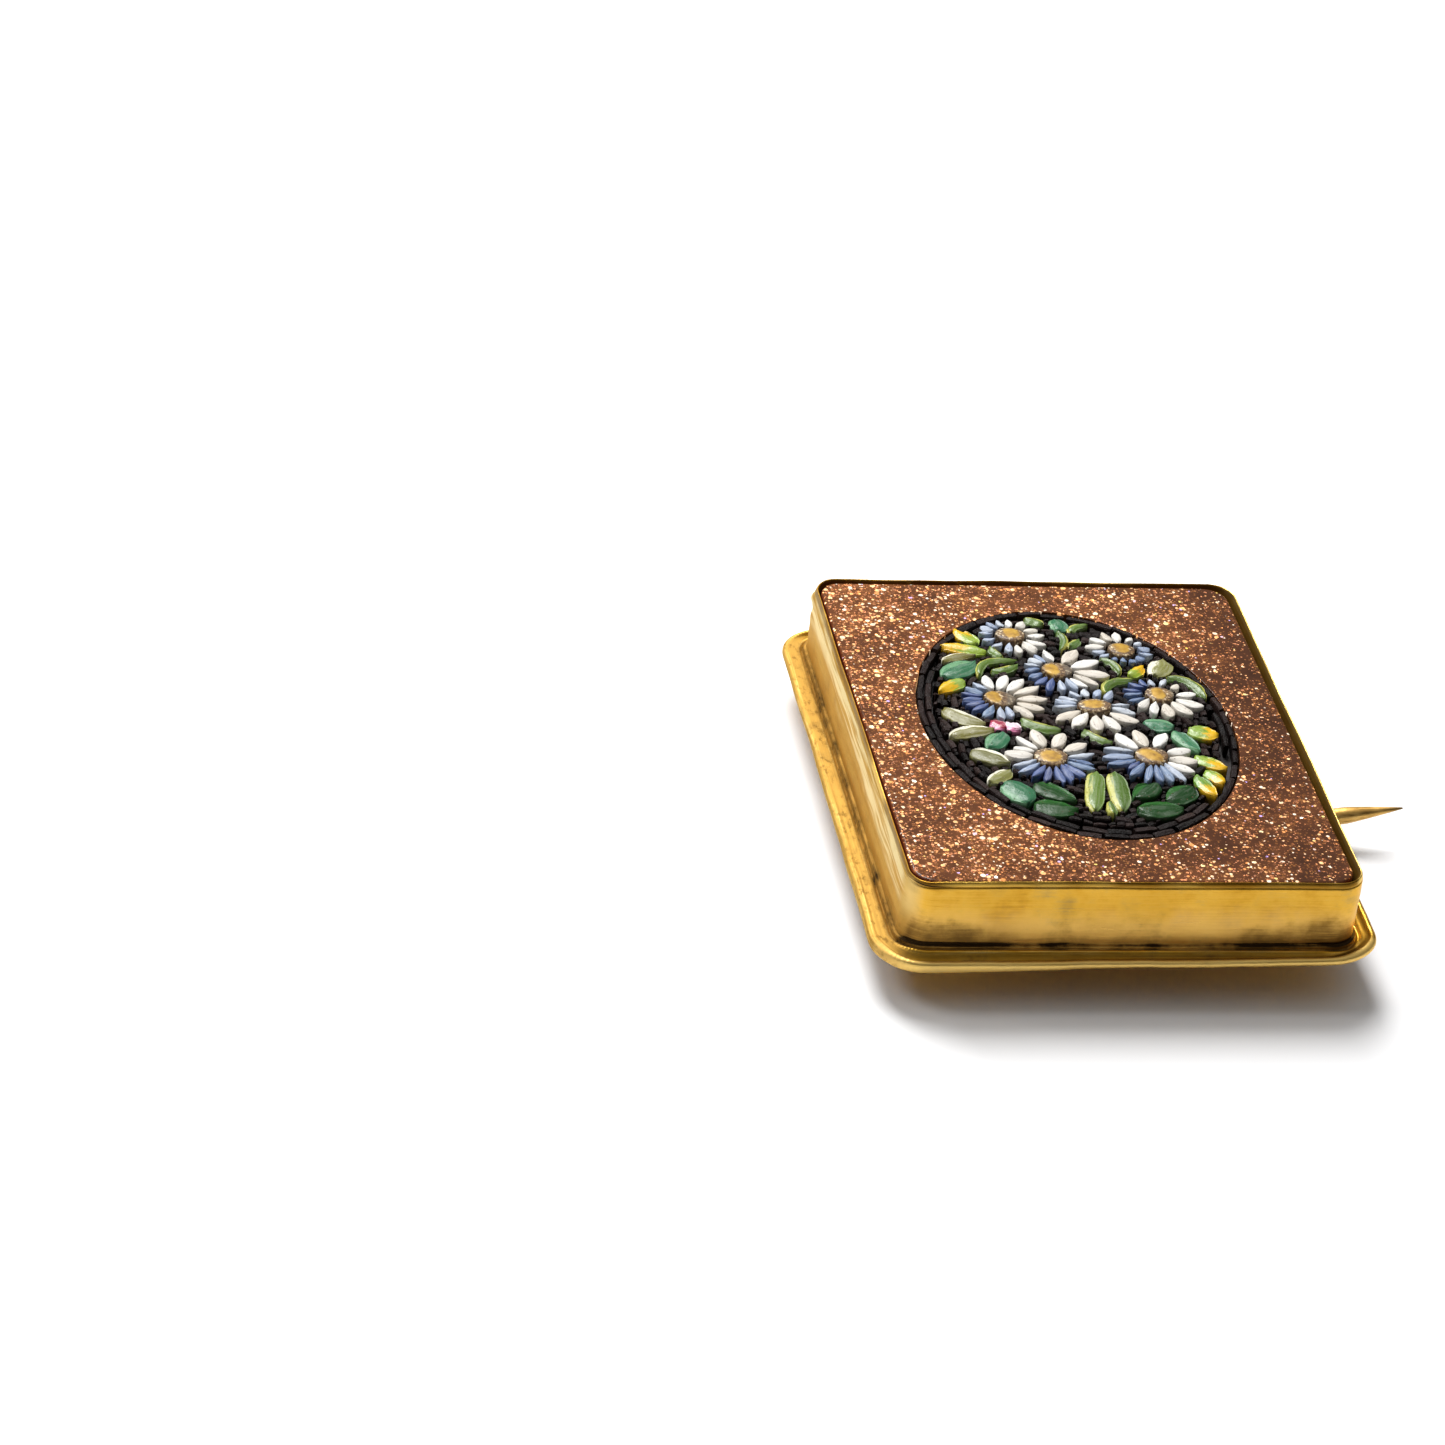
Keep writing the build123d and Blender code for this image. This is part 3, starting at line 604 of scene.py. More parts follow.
def leaf_edges(rows, roundness, steps=17):
    """Each side has a width of 1 less a power of the distance from the middle, drawn from
    2.2 to 4, to the 0.6 at the blunt foot, and a lower power to the 0.9 at the tip."""
    shares = np.moveaxis(np.array(rows).reshape(-1, 4, 2) / 100, 2, 0)
    base, tip, one_side, other_side = on_oval(*shares).swapaxes(0, 1)[:, :, None]
    t = ease(steps, 0.02)[:, None]
    control = one_side + other_side - (base + tip) / 2
    spine = (1 - t)**2 * base + 2 * t * (1 - t) * control + t**2 * tip
    slope = 2 * (1 - t) * (control - base) + 2 * t * (tip - control)
    side = beside(slope) / np.linalg.norm(slope, axis=2, keepdims=True)
    breadth = (side[:, steps // 2, None] * (one_side - other_side)).sum(2, keepdims=True)
    away = np.abs(2 * t - 1)
    random = np.random.default_rng(len(rows))
    edges = []
    for sign in (1, -1):
        foot, point = random.uniform(2.2, 4.0, (2, len(rows), 1, 1)) * roundness
        width = np.where(t < 0.5, (1 - away**foot) ** 0.6, (1 - away ** (point * 0.75)) ** 0.9)
        edges.append(spine + sign * side * breadth / 2 * leaf_fill * width)
    return edges


for order, (colour, rows) in enumerate(LEAVES.items()):
    left, right = leaf_edges(rows, 1.5 if colour == "lime" else 1.0)
    leaf_shells[colour] = chips(left, right, leaf_height, 40 + order, around=18, rough=0.06,
                                shoulder=0.84, dome=0.2, roof=0.24, square=0.38)
    outlines += list(np.concatenate([left, right[:, ::-1]], 1))
    print(colour, "leaves", len(left))
for shade, shell in enumerate(leaf_shells["pink"]):
    shell["attributes"]["tone"][:] = shade

# %% [markdown]
# Each eye is the cut end of a thick cane with a gold core in a speckled brown skin. It is a
# low round button. A value that grows outwards from the core's own centre is kept on the
# points, so the finish can put the gold where the chart has it.

# %% Eyes
def eye_shells(steps=18, around=24):
    """Chips with the edges of an oval. The value gold is 1 on the gold's own oval, and the
    button swells by 0.05 inside it and sinks by 0.05 of the distance outside 0.6."""
    shells = []
    t = 2 * ease(steps, 0.004) - 1
    for order, ((across, up, *half), gold_chart, _) in enumerate(DAISIES):
        off_x, off_y, gold_x, gold_y, turn = gold_chart
        left, right = (on_oval(across + half[0] * t, up + sign * half[1] * np.sqrt(1 - t**2))
                       for sign in (1, -1))
        outlines.append(np.concatenate([left, right[::-1]]))
        shell = chips(left[None], right[None], eye_height, 60 + order, around, 0.012, 0.72, 0.12)[0]
        x, y = (shell["points"][:, :2] - on_oval(across, up) - (off_x, off_y)).T
        c, s = math.cos(math.radians(turn)), math.sin(math.radians(turn))
        gold = np.hypot((c * x + s * y) / gold_x, (c * y - s * x) / gold_y)
        spread = np.hypot(x / (half[0] * oval_half[0]), y / (half[1] * oval_half[1]))
        shell["attributes"]["gold"] = gold
        shell["points"][:, 2] += 0.05 * np.clip(1 - gold, 0, 1) - 0.05 * np.clip(spread - 0.6, 0, 1)
        shells.append(shell)
    return shells


eyes = eye_shells()
print("eyes", len(eyes))

# %% [markdown]
# The ground is black glass in short square rods. Those of the border run in rows round the
# oval, two deep at the left and below. A rod is one more kind of chip, with straight edges.

# %% Border rods
brick_length, brick_gap = 1.42, 0.07
BORDER_ROWS = [
    # outer share, inner share, from_deg, to_deg
    (1.014, 0.976, 0.0, 360.0), (0.964, 0.925, 152.0, 312.0), (0.964, 0.925, -13.0, 6.0),
]


def rods(centre, turn, half_length, half_width, height, seed, steps=5, around=10):
    """Straight bars, narrowed by 0.14 of the fourth power of the distance from the middle."""
    t = np.linspace(-1, 1, steps)[:, None]
    direction = unit(turn)[:, None]
    middle = centre[:, None] + direction * (t * half_length[:, None, None])
    side = beside(direction) * (half_width[:, None, None] * (1 - 0.14 * np.abs(t) ** 4))
    shells = chips(middle + side, middle - side, 1.0, seed, around, 0.035, 0.7, 0.12)
    for shell, lift in zip(shells, height):
        shell["points"][:, 2] = bed_z + (shell["points"][:, 2] - bed_z) * lift
    return shells


def row_of_rods(outer, inner, from_deg, to_deg, seed):
    """Rods of one length along an oval: the length travelled is added up in short chords,
    and the angle is read back from it at each rod's middle."""
    random = np.random.default_rng(seed)
    share = (outer + inner) / 2
    angle = np.radians(np.linspace(from_deg, to_deg, 1441))
    chords = np.hypot(*(np.diff(unit(angle), axis=0) * oval_half).T)
    travelled = np.concatenate([[0], np.cumsum(chords)]) * share
    count = max(1, round(travelled[-1] / brick_length))
    marks = np.interp((np.arange(count) + 0.5) * travelled[-1] / count, travelled, angle)
    marks += random.uniform(-0.01, 0.01, count)
    out = unit(marks) * oval_half
    turn = np.arctan2(np.cos(marks) * oval_half[1], -np.sin(marks) * oval_half[0])
    thick = (outer - inner) / 2 * np.hypot(*out.T)
    half_length = travelled[-1] / count / 2 - brick_gap / 2 + random.uniform(-0.04, 0.02, count)
    turn = turn + random.uniform(-0.03, 0.03, count)
    thick = thick * random.uniform(0.94, 1.08, count)
    return out * share + (case_x, oval_up), turn, half_length, thick


border = [row_of_rods(*row, 80 + k) for k, row in enumerate(BORDER_ROWS)]
border = [np.concatenate(values) for values in zip(*border)]
border_rise = np.random.default_rng(90).uniform(0.92, 1.06, len(border[0])) * rod_height
border_shells = rods(*border, border_rise, 91)
print("border rods", len(border_shells))

# %% [markdown]
# The rods between the flowers were pushed in wherever there was room, so a picture of what is
# taken is kept as a fine grid of squares: a rod goes in only where its squares are free, and
# then takes them. Long rods go first and stubs fill what is left.

# %% The squares that are taken
square = 0.05
taken_low = on_oval(-1.05, -1.05)
taken = np.zeros((2.1 * oval_half / square).astype(int), bool)
cell_x, cell_y = (n * square + low for n, low in zip(np.indices(taken.shape), taken_low))
share_x, share_y = (cell_x - case_x) / oval_half[0], (cell_y - oval_up) / oval_half[1]
oval_angle = np.degrees(np.arctan2(share_y, share_x))
one_row = (oval_angle > 8) & (oval_angle < 150)
taken |= np.hypot(share_x, share_y) > np.where(one_row, 0.966, 0.915)


def take(outline):
    """Marks the squares inside an outline: those that an even-odd count of its edges to the
    right finds inside, within the outline's own box."""
    low = np.maximum(((outline.min(0) - taken_low) / square).astype(int) - 1, 0)
    high = ((outline.max(0) - taken_low) / square).astype(int) + 2
    window = np.s_[low[0]:high[0], low[1]:high[1]]
    x, y = cell_x[window], cell_y[window]
    inside = np.zeros(x.shape, bool)
    for (ax, ay), (bx, by) in zip(outline, np.roll(outline, -1, 0)):
        if ay != by:
            inside ^= ((ay > y) != (by > y)) & (x < (bx - ax) * (y - ay) / (by - ay) + ax)
    taken[window] |= inside


for outline in outlines:
    take(outline)
print("squares", taken.size, "taken", int(taken.sum()))


# %% [markdown]
# Near the border the rods lie along the oval, and further in they lie anyhow. Each kind of rod
# is tried on a lattice of its own, whose places are shaken so that no rows show.

# %% Ground rods
ROD_KINDS = [
    # half length, half width, pitch of the lattice, seed, tries, share that may touch
    (0.42, 0.2, 0.4, 101, 2, 0.03), (0.22, 0.19, 0.25, 102, 2, 0.08),
    (0.13, 0.12, 0.2, 103, 1, 0.22),
]


def squares_of(centre, turn, half_length, half_width):
    """The squares under a rod, from a small grid of places over it."""
    s, w = np.meshgrid(np.linspace(-1, 1, 13) * half_length, np.linspace(-1, 1, 7) * half_width)
    x = centre[0] + s * math.cos(turn) - w * math.sin(turn)
    y = centre[1] + s * math.sin(turn) + w * math.cos(turn)
    return ((x - taken_low[0]) / square).astype(int), ((y - taken_low[1]) / square).astype(int)


def fill_ground(half_length, half_width, pitch, seed, tries, touch):
    """Tries rods on a jittered lattice, turned along the oval near the border and at random
    within, and keeps each whose squares are free but for a small share that may touch."""
    random = np.random.default_rng(seed)
    kept = []
    x, y = np.meshgrid(*(np.arange(-1, 1, pitch / half) for half in oval_half))
    places = np.stack([x.ravel(), y.ravel()], 1)
    for _ in range(tries):
        random.shuffle(places)
        jitter = random.uniform(-0.5, 0.5, places.shape) * pitch / oval_half
        for across, up in places + jitter:
            if math.hypot(across, up) > 0.955:
                continue
            along_oval = math.atan2(across * oval_half[1], -up * oval_half[0])
            free_turn = random.uniform(-1.4, 1.4) * (1.05 - math.hypot(across, up))
            rod = (on_oval(across, up), along_oval + free_turn,
                   half_length * random.uniform(0.8, 1.2), half_width * random.uniform(0.85, 1.15))
            squares = squares_of(*rod)
            if taken[squares].mean() <= touch:
                taken[squares] = True
                kept.append(rod)
    return kept


ground = [rod for kind in ROD_KINDS for rod in fill_ground(*kind)]
centre, turn, half_length, half_width = (np.array(values) for values in zip(*ground))
ground_rise = np.random.default_rng(104).uniform(0.7, 1.05, len(ground)) * rod_height
ground_shells = rods(centre, turn, half_length, half_width * 1.04, ground_rise, 105, 4, 8)
print("ground rods", len(ground))

# %% [markdown]
# Opaque glass from the flame has a wet skin over a colour that runs in threads along the
# cane. A chip also has a few open bubbles, and it is made darker in patches down its low
# flanks. All glass shares one recipe: shades by chip, threads along it, a second colour on one
# edge or end, pits, and the darker low flanks.

# %% Finish of the glass chips
GLASS = {
    # shades by chip, (second colour, its place), threads, milk, roughness, shine
    "white": ([(182, 171, 154), (200, 195, 186), (216, 214, 209)], None, 0.2, 0, 0.42, 0.4),
    "pale_blue": ([(124, 140, 168), (146, 158, 178), (172, 178, 186)], None, 0.25, 0, 0.42, 0.4),
    "mid_blue": ([(80, 104, 140), (66, 92, 132), (102, 124, 154)], None, 0.2, 0, 0.42, 0.4),
    "deep_blue": ([(44, 66, 120), (54, 78, 130), (36, 54, 104)], None, 0.14, 0, 0.42, 0.4),
    "green": ([(16, 54, 15), (24, 68, 22), (9, 42, 13)],
              ((36, 84, 32), "edge"), 0.05, 0.05, 0.14, 0.12),
    "teal": ([(38, 96, 64), (60, 118, 84), (27, 82, 50)],
             ((98, 142, 105), "edge"), 0.1, 0.15, 0.14, 0.17),
    "lime": ([(84, 110, 34), (70, 100, 32), (100, 126, 46)],
             ((170, 169, 80), "edge"), 0.1, 0.04, 0.2, 0.3),
    "yellow": ([(122, 154, 38), (140, 160, 36), (98, 138, 40)],
               ((214, 168, 16), "tip"), 0.08, 0, 0.2, 0.4),
    "cream": ([(104, 96, 36), (122, 122, 62), (80, 78, 28)],
              ((212, 208, 188), "edge"), 0.14, 0.04, 0.2, 0.25),
    "pink": ([(150, 22, 58), (226, 196, 208)], ((190, 104, 142), "edge"), 0.2, 0.3, 0.15, 0.4),
}
PALE_THREAD, DARK_THREAD, MILK = (250, 248, 240), (60, 52, 45), (240, 245, 235)
PIT_DIRT, LOW_FLANK_DARK = (92, 72, 55), (52, 42, 36)


def glass_finish(colour_name):
    """Shades by the chip's own tone, then threads, second colour, milk, pits, and darker patches
    down the low flanks.
    """
    f = Finish(colour_name + "_glass")
    shades, second, thread, milk, rough, shine = GLASS[colour_name]
    tone, along, across, crown = map(f.attribute, ("tone", "along", "across", "crown"))
    base = f.ramp(tone, *((k / (len(shades) - 1), shade) for k, shade in enumerate(shades)))
    cane = f.xyz(along * 1.6, across * 2.4 + tone * 60, crown + tone * 23)
    threads = f.noise(cane, 1.7, 4, 0.6)
    colour = f.mix(threads.step(0.42, 0.68) * thread, base, PALE_THREAD)
    colour = f.mix((0.5 - threads).step(0.0, 0.25) * thread * 1.6, colour, DARK_THREAD)
    if second:
        towards = along if second[1] == "tip" else across * 0.5 + 0.24
        ragged = towards + (threads - 0.5) * 0.9
        colour = f.mix(ragged.step(0.42, 0.58), colour, second[0])
    if milk:
        cloudy = f.noise(cane, 3.1, 5, 0.65)
        colour = f.mix(cloudy.step(0.6, 0.72) * milk, colour, MILK)
    bubble, chance, _, _ = f.cells(f.place, 5.5)
    pit = bubble.step(0.32, 0.18) * (chance > 0.8)
    colour = f.mix(pit * 0.6, colour, PIT_DIRT)
    patch = f.noise(f.place, 3.3, 4)
    # Darker in patches where the crown is low, down the chip's flanks.
    low_flank_dark = (0.25 - crown).step(0.0, 0.9) * patch.step(0.3, 0.6) * 0.75
    colour = f.mix(low_flank_dark, colour, LOW_FLANK_DARK)
    uneven = f.noise(f.place, 5.0, 3) + f.noise(f.place, 19.0, 2) * 0.25 - pit * 0.9
    return f.shade(
        Base_Color=colour, Roughness=patch.step(0.2, 0.8) * 0.22 + rough,
        Normal=f.bump(uneven, 0.5, 0.04), Specular_IOR_Level=shine)


# %% [markdown]
# The eyes' gold is a metal foil under glass. Its own centre gives the value that the finish
# reads: gold within, a brown skin around it with pale and dark grains, and painted shade down
# the low flanks.

# %% Finish of the eyes, the black rods and the cement
def eye_finish():
    """Foil where the value gold is low, skin where it is high, and a ragged line between."""
    f = Finish("gold_glass")
    gold, crown = f.attribute("gold"), f.attribute("crown")
    cloud = f.noise(f.place, 2.2, 3)
    ragged = gold + (f.noise(f.place, 6.0, 4) - 0.5) * 0.45
    grains = f.cells(f.place, 9.0)[1]
    foil = f.ramp(cloud, (0.3, (188, 150, 58)), (0.5, (166, 126, 37)), (0.7, (126, 90, 24)))
    skin = f.ramp(grains, (0.0, (72, 50, 34)), (0.55, (104, 78, 50)),
                  (0.8, (150, 122, 84)), (0.97, (214, 196, 160)))
    colour = f.mix(ragged.step(0.82, 1.12), foil, skin)
    colour = f.mix((gold + cloud * 0.3).step(1.5, 2.1) * 0.6, colour, (96, 92, 84))
    # Painted shade: darker where the crown is low, down the eye's flanks.
    colour = f.mix((0.2 - crown).step(0.0, 0.5) * 0.7, colour, (46, 38, 32))
    relief = f.noise(f.place, 7.0, 3) + grains * ragged.step(0.8, 1.1) * 0.35
    return f.shade(
        Base_Color=colour, Metallic=ragged.step(1.05, 0.8) * 0.12, Roughness=cloud * 0.3 + 0.3,
        Normal=f.bump(relief, 0.5, 0.03), Coat_Weight=0.1, Coat_Roughness=0.12,
        Specular_IOR_Level=0.25)


def black_finish():
    """A shade by rod, greyer where the face is broken, and painted shade down its flanks."""
    f = Finish("black_glass")
    tone, crown = f.attribute("tone"), f.attribute("crown")
    broken = f.noise(f.place, 4.2, 5, 0.65)
    colour = f.ramp(tone, (0.0, (11, 7, 6)), (0.6, (25, 15, 14)), (1.0, (48, 34, 31)))
    colour = f.mix(broken.step(0.55, 0.75) * 0.4, colour, (70, 60, 58))
    # Painted shade: darker where the crown is low, down the rod's flanks.
    colour = f.mix((0.1 - crown).step(0.0, 0.8) * 0.8, colour, (12, 9, 8))
    relief = broken + f.noise(f.place, 15.0, 3) * 0.4
    return f.shade(Base_Color=colour, Roughness=broken * 0.35 + 0.2,
                   Normal=f.bump(relief, 1.0, 0.12), Specular_IOR_Level=0.11)


def cement_finish():
    """One grain for colour, roughness and relief."""
    f = Finish("dark_cement")
    grain = f.noise(f.place, 6.0, 6, 0.7)
    colour = f.ramp(grain, (0.3, (16, 12, 11)), (0.6, (34, 26, 23)), (0.8, (58, 46, 40)))
    return f.shade(Base_Color=colour, Roughness=grain * 0.3 + 0.55, Normal=f.bump(grain, 0.8, 0.06))


print("materials", len(bpy.data.materials))

# %% [markdown]
# Each colour of glass is one piece, which takes the place of the solid model's chips of that
# colour. The fine rods of the ground have no solids of their own, so they take no place. The
# bed keeps its solid and only gets the look of cement.

# %% The pieces of the mosaic
for start, node, chips_by_colour in (("daisy_petals_", "petals_", petal_shells),
                                     ("glass_leaves_", "leaves_", leaf_shells)):
    for colour, shells in chips_by_colour.items():
        build_piece(start + colour, shells, glass_finish(colour), colour + "_glass",
                    [node + colour])
build_piece("daisy_eyes", eyes, eye_finish(), "gold_glass", ["flower_centres"])
black_glass = black_finish()
build_piece("border_rods", border_shells, black_glass, "black_glass", ["border_tesserae"],
            smooth=False)
build_piece("ground_rods", ground_shells, black_glass, "black_glass", smooth=False)
bed_materials = frame["nodes"]["mosaic_bed"].data.materials
bed_materials.clear()
bed_materials.append(cement_finish())

# %% [markdown]
# The case's outline is walked once: four straight sides and four corner arcs, with more steps
# in the arcs. The walk gives places, outward directions and the length travelled, and every
# moulded part of the case is a profile carried along it.

# %% The walk round the case
flange_width = 1.4
case_half = np.array([setting_high.x - setting_low.x, setting_high.y - setting_low.y]) / mm / 2
case_half -= flange_width


def case_walk(side_step, arc_steps, half=case_half, radius=1.5):
    """Counter-clockwise from the right side's end: places, outward unit directions, and
    length travelled. On an arc the place is its centre plus radius times the direction."""
    inner = half - radius
    places, directions = [], []
    corners = inner * [(1, 1), (-1, 1), (-1, -1), (1, -1)]
    for k, corner in enumerate(corners):
        arc = unit(np.radians(90 * k + 90 * np.linspace(0, 1, arc_steps)))
        start, end = corner + radius * arc[-1], corners[(k + 1) % 4] + radius * arc[-1]
        share = np.linspace(0, 1, int(np.linalg.norm(end - start) / side_step) + 1)[1:-1, None]
        places += [corner + radius * arc, start * (1 - share) + end * share]
        directions += [arc, np.repeat(arc[-1:], len(share), 0)]
    places, directions = np.concatenate(places), np.concatenate(directions)
    length = np.linalg.norm(np.roll(places, -1, 0) - places, axis=1)
    return places, directions, np.concatenate([[0], np.cumsum(length)])


def stack_rings(rings):
    """Flat rings, each with its height, as one grid of points."""
    return np.stack([np.insert(flat, 2, z, axis=1) for flat, z in rings])


walk_places, walk_out, walk_length = case_walk(0.135, 26)
walk_places = walk_places + (case_x, 0)
print("case walk", len(walk_places), "steps,", round(walk_length[-1], 2), "mm")

# %% [markdown]
# The gilt case is bent from thin sheet by hand, so nothing in it is quite straight: the rim
# rises and falls, the walls have soft dents and folds, and the flange sags at one corner and
# is bent up at the other. A box with a bevel would look machined. Here the profile of wall,
# step, bead, cove and lip is carried round the walk, and every point is then moved a little by
# smooth sums of waves, by amounts that depend on where it stands.

# %% Profile of the case
back_z = seat_z - 0.55
flange_z = seat_z - 0.67
wall = 0.35
RIM = [
    # out from the wall's face, up from the rim
    (-0.29, -0.45), (-0.24, -0.28), (-0.205, -0.14), (-0.18, -0.05), (-0.155, -0.012),
    (-0.125, 0.0), (-0.095, -0.015), (-0.07, -0.06), (-0.042, -0.15), (-0.02, -0.24),
    (-0.02, -0.285), (-0.045, -0.31), (-0.05, -0.335), (-0.02, -0.36), (0.0, -0.4),
]
LEDGE = [(0.1, -0.03), (0.14, -0.04), (0.168, -0.06), (0.18, -0.1), (0.187, -0.19)]


def arc_points(centre, radius, from_deg, to_deg, count):
    """Places on an arc, the centre plus the radius times (cos, sin)."""
    return list(centre + radius * unit(np.radians(np.linspace(from_deg, to_deg, count))))


def line_points(start, end, count):
    """Places at equal steps from start to end, without the start."""
    return list(np.linspace(start, end, count + 1)[1:])


def moulded_profile():
    """Pairs of (distance out from the wall's face, height), from the inside of the wall up,
    over the rim, down the outside, over step, bead, cove and lip, and back beneath."""
    points = line_points((-wall, back_z + 0.1), (-wall, rim_z - 0.7), 8)
    points += [(out, rim_z + up) for out, up in RIM]
    points += line_points((0.0, rim_z - 0.4), (0.0, seat_z + 0.06), 26)
    points += arc_points((0.05, seat_z + 0.03), 0.05, 185, 262, 4)
    points += [(out, seat_z + up) for out, up in LEDGE]
    points += arc_points((0.345, flange_z + 0.37), 0.13, 165, 20, 8)
    points += arc_points((0.82, flange_z + 0.56), 0.36, 222, 300, 9)
    points += arc_points((1.2, flange_z + 0.2), 0.2, 142, -125, 20)
    points += [(0.99, back_z - 0.04), (0.9, back_z)]
    points += line_points((0.9, back_z), (-0.2, back_z + 0.02), 5)
    return np.array(points)


profile = moulded_profile()
print("profile", len(profile), "points")

# %% [markdown]
# The bends are read off the photograph: the near edge of the flange falls to the left and is
# bent up at the right, the rim dips at the near left corner, the left wall is folded along its
# length, and a soft ribbon runs under its rim.

# %% The case's wall and flange
def case_grid():
    """The profile at every step of the walk. A point is moved out by shift and up by lift,
    which are sums of masks times waves. A mask is 1 on one part and 0 elsewhere."""
    shape = (len(walk_places), len(profile))
    out, height = (np.broadcast_to(profile[:, k], shape) for k in (0, 1))
    flat = walk_places[:, None] + walk_out[:, None] * out[..., None]
    at = np.concatenate([flat, height[..., None]], 2)
    x, y = at[..., 0] - case_x, at[..., 1]
    on_wall = (out < 0.06) & (height > seat_z)
    left = rise(-walk_out[:, :1], 0.35, 0.95)
    belly = on_wall * np.sin(np.pi * np.clip((height - seat_z) / (rim_z - seat_z), 0, 1))
    top = rise(height, rim_z - 1.2, rim_z) * (out < 0.1)
    corner = bell(x + 12.1, 1.3) * bell(y + 15.4, 1.3)
    folds = smooth_noise(at * (1, 0.09, 1), 303, 8, 1.3)
    folds += smooth_noise(at * (1, 0.2, 1), 304, 6, 0.6) * 0.4
    ribbon = rim_z - 0.72 + 0.16 * smooth_noise(at * (1, 1, 0), 310, 6, 9.0)
    shift = belly * 0.05 * smooth_noise(at, 301, 8, 6.5)
    shift += belly * 0.016 * smooth_noise(at, 302, 8, 1.9)
    shift += belly * left * 0.14 * folds + top * 0.05 * smooth_noise(at, 305, 6, 7.0)
    shift += left * on_wall * rise(y, -15.2, -13.0) * 0.1 * bell(height - ribbon, 0.13)
    shift -= left * on_wall * 0.08 * rise(height, rim_z - 0.9, rim_z) + corner * belly * 0.12
    lift = top * 0.045 * (smooth_noise(at, 306, 7, 5.0) - 0.6) - top * corner * 0.15

    near = rise(-y, -6, 14)
    flange = rise(out, 0.45, 1.1)
    under = rise(flange_z + 0.3 - height, 0.0, 0.3) * flange
    leftward, rightward = rise(-x, -2, 13), rise(x, 1, 13)
    lift += near * flange * (0.19 * rightward - 0.12 * leftward)
    lift -= near * under * (0.28 * leftward + 0.05 * rightward)
    upper = (out > 0.2) & (height > flange_z + 0.2)
    band = flange_z + 0.43 - 0.16 * bell(out - 0.2, 0.13)
    bent_up = bell(x - 12.9, 1.5) * bell(y + 16.4, 1.5)
    flattened = np.maximum(left, np.clip(1.4 * bent_up, 0, 1))
    lift += flattened * upper * rise(-out, -1.3, -1.1) * (band - height) + bent_up * flange * 0.14
    lift += flange * 0.03 * smooth_noise(at, 307, 7, 4.0)
    lift += (out > 0.1) * 0.012 * smooth_noise(at, 308, 7, 1.2)
    shift -= flange * 0.04 * (1 + smooth_noise(at, 309, 7, 3.5))
    flat = flat + walk_out[:, None] * shift[..., None]
    grid = np.concatenate([flat, (height + lift)[..., None]], 2)
    return grid, {"out": out, "left": np.broadcast_to(left, shape)}


case_points, case_values = case_grid()
over = np.linalg.norm(np.roll(profile, -1, 0) - profile, axis=1)
over = np.concatenate([[0], np.cumsum(over)])
case_shell = grid_shell(case_points, True, case_values, (walk_length, over))
print("profile length", round(over[-1], 2), "mm")

# %% [markdown]
# The back is a plain sheet under the flange. It is a stack of outlines: small in the middle,
# full at the edge, over a rounded edge, and small again inside the case. Its edge is a hand's
# cut and its face is not flat.

# %% Back sheet
def back_sheet():
    """Shares of the outline about the centre, and waves on the rings of the lower face."""
    places, directions, _ = case_walk(0.6, 12)
    edge = places + directions * 0.72
    shares = [*np.linspace(0.04, 0.93, 22), 0.96, 0.985]
    rings = [(edge * share, back_z - 0.03) for share in shares]
    rings += [(edge - directions * 0.04, back_z - 0.025), (edge, back_z), (edge, back_z + 0.03)]
    rings += [((places - directions * 0.2) * share, back_z + 0.3) for share in (0.95, 0.5, 0.04)]
    grid = stack_rings(rings) + (case_x, 0, 0)
    face = grid[:len(shares) + 1]
    waves, ripples = smooth_noise(face, 320, 8, 7.0), smooth_noise(face, 321, 8, 1.6)
    face[..., 2] += 0.022 * waves + 0.006 * ripples
    return grid_shell(grid)


back = back_sheet()
print("back sheet", len(back["points"]), "points")


# %% [markdown]
# The pin turns between two rounded lugs on a foot. Each is a section carried along a line: a
# lug's round-footed outline across its width, and a foot's rounded rectangle up its thickness.
# The solder shows as a soft skirt where each foot meets the sheet.

# %% Hinge lugs and feet
stem_radius = 0.48
eye_width = 1.9
lug_gap, lug_width, lug_radius = 0.09, 1.25, hinge_z
lug_start = eye_width / 2 + lug_gap
lug_end = lug_start + lug_width
foot_margin = 0.35


def lug(side):
    """Outlines in X and Z, a half circle under two upright sides, at nine places along Y.
    Those near the ends are smaller by an inset, which rounds the edges."""
    half_circle = unit(np.radians(np.linspace(180, 360, 25))) * lug_radius + (hinge_x, lug_radius)
    sides = np.linspace(lug_radius, back_z + 0.1, 8)[1:]
    right, left = (np.stack([np.full(7, hinge_x + sign * lug_radius), sides[::sign]], 1)
                   for sign in (1, -1))
    outline = np.concatenate([half_circle, right, left])
    across = np.array([0, 0.015, 0.05, 0.12, 0.5, 0.88, 0.95, 0.985, 1]) * lug_width
    inset = [0.14, 0.08, 0.03, 0, 0, 0, 0.03, 0.08, 0.14]
    centre = np.array([hinge_x, (lug_radius + back_z) / 2])
    away = outline - centre
    shrink = 1 - np.array(inset) / np.abs(away).max()
    y = pin_y + side * (lug_start + across)
    grid = np.stack([np.insert(centre + away * s, 1, at, 1) for s, at in zip(shrink, y)])
    grid[..., 0] += 0.012 * smooth_noise(grid, 330, 6, 1.4)
    grid[..., 2] = np.maximum(grid[..., 2], 0.0)
    return grid_shell(grid)


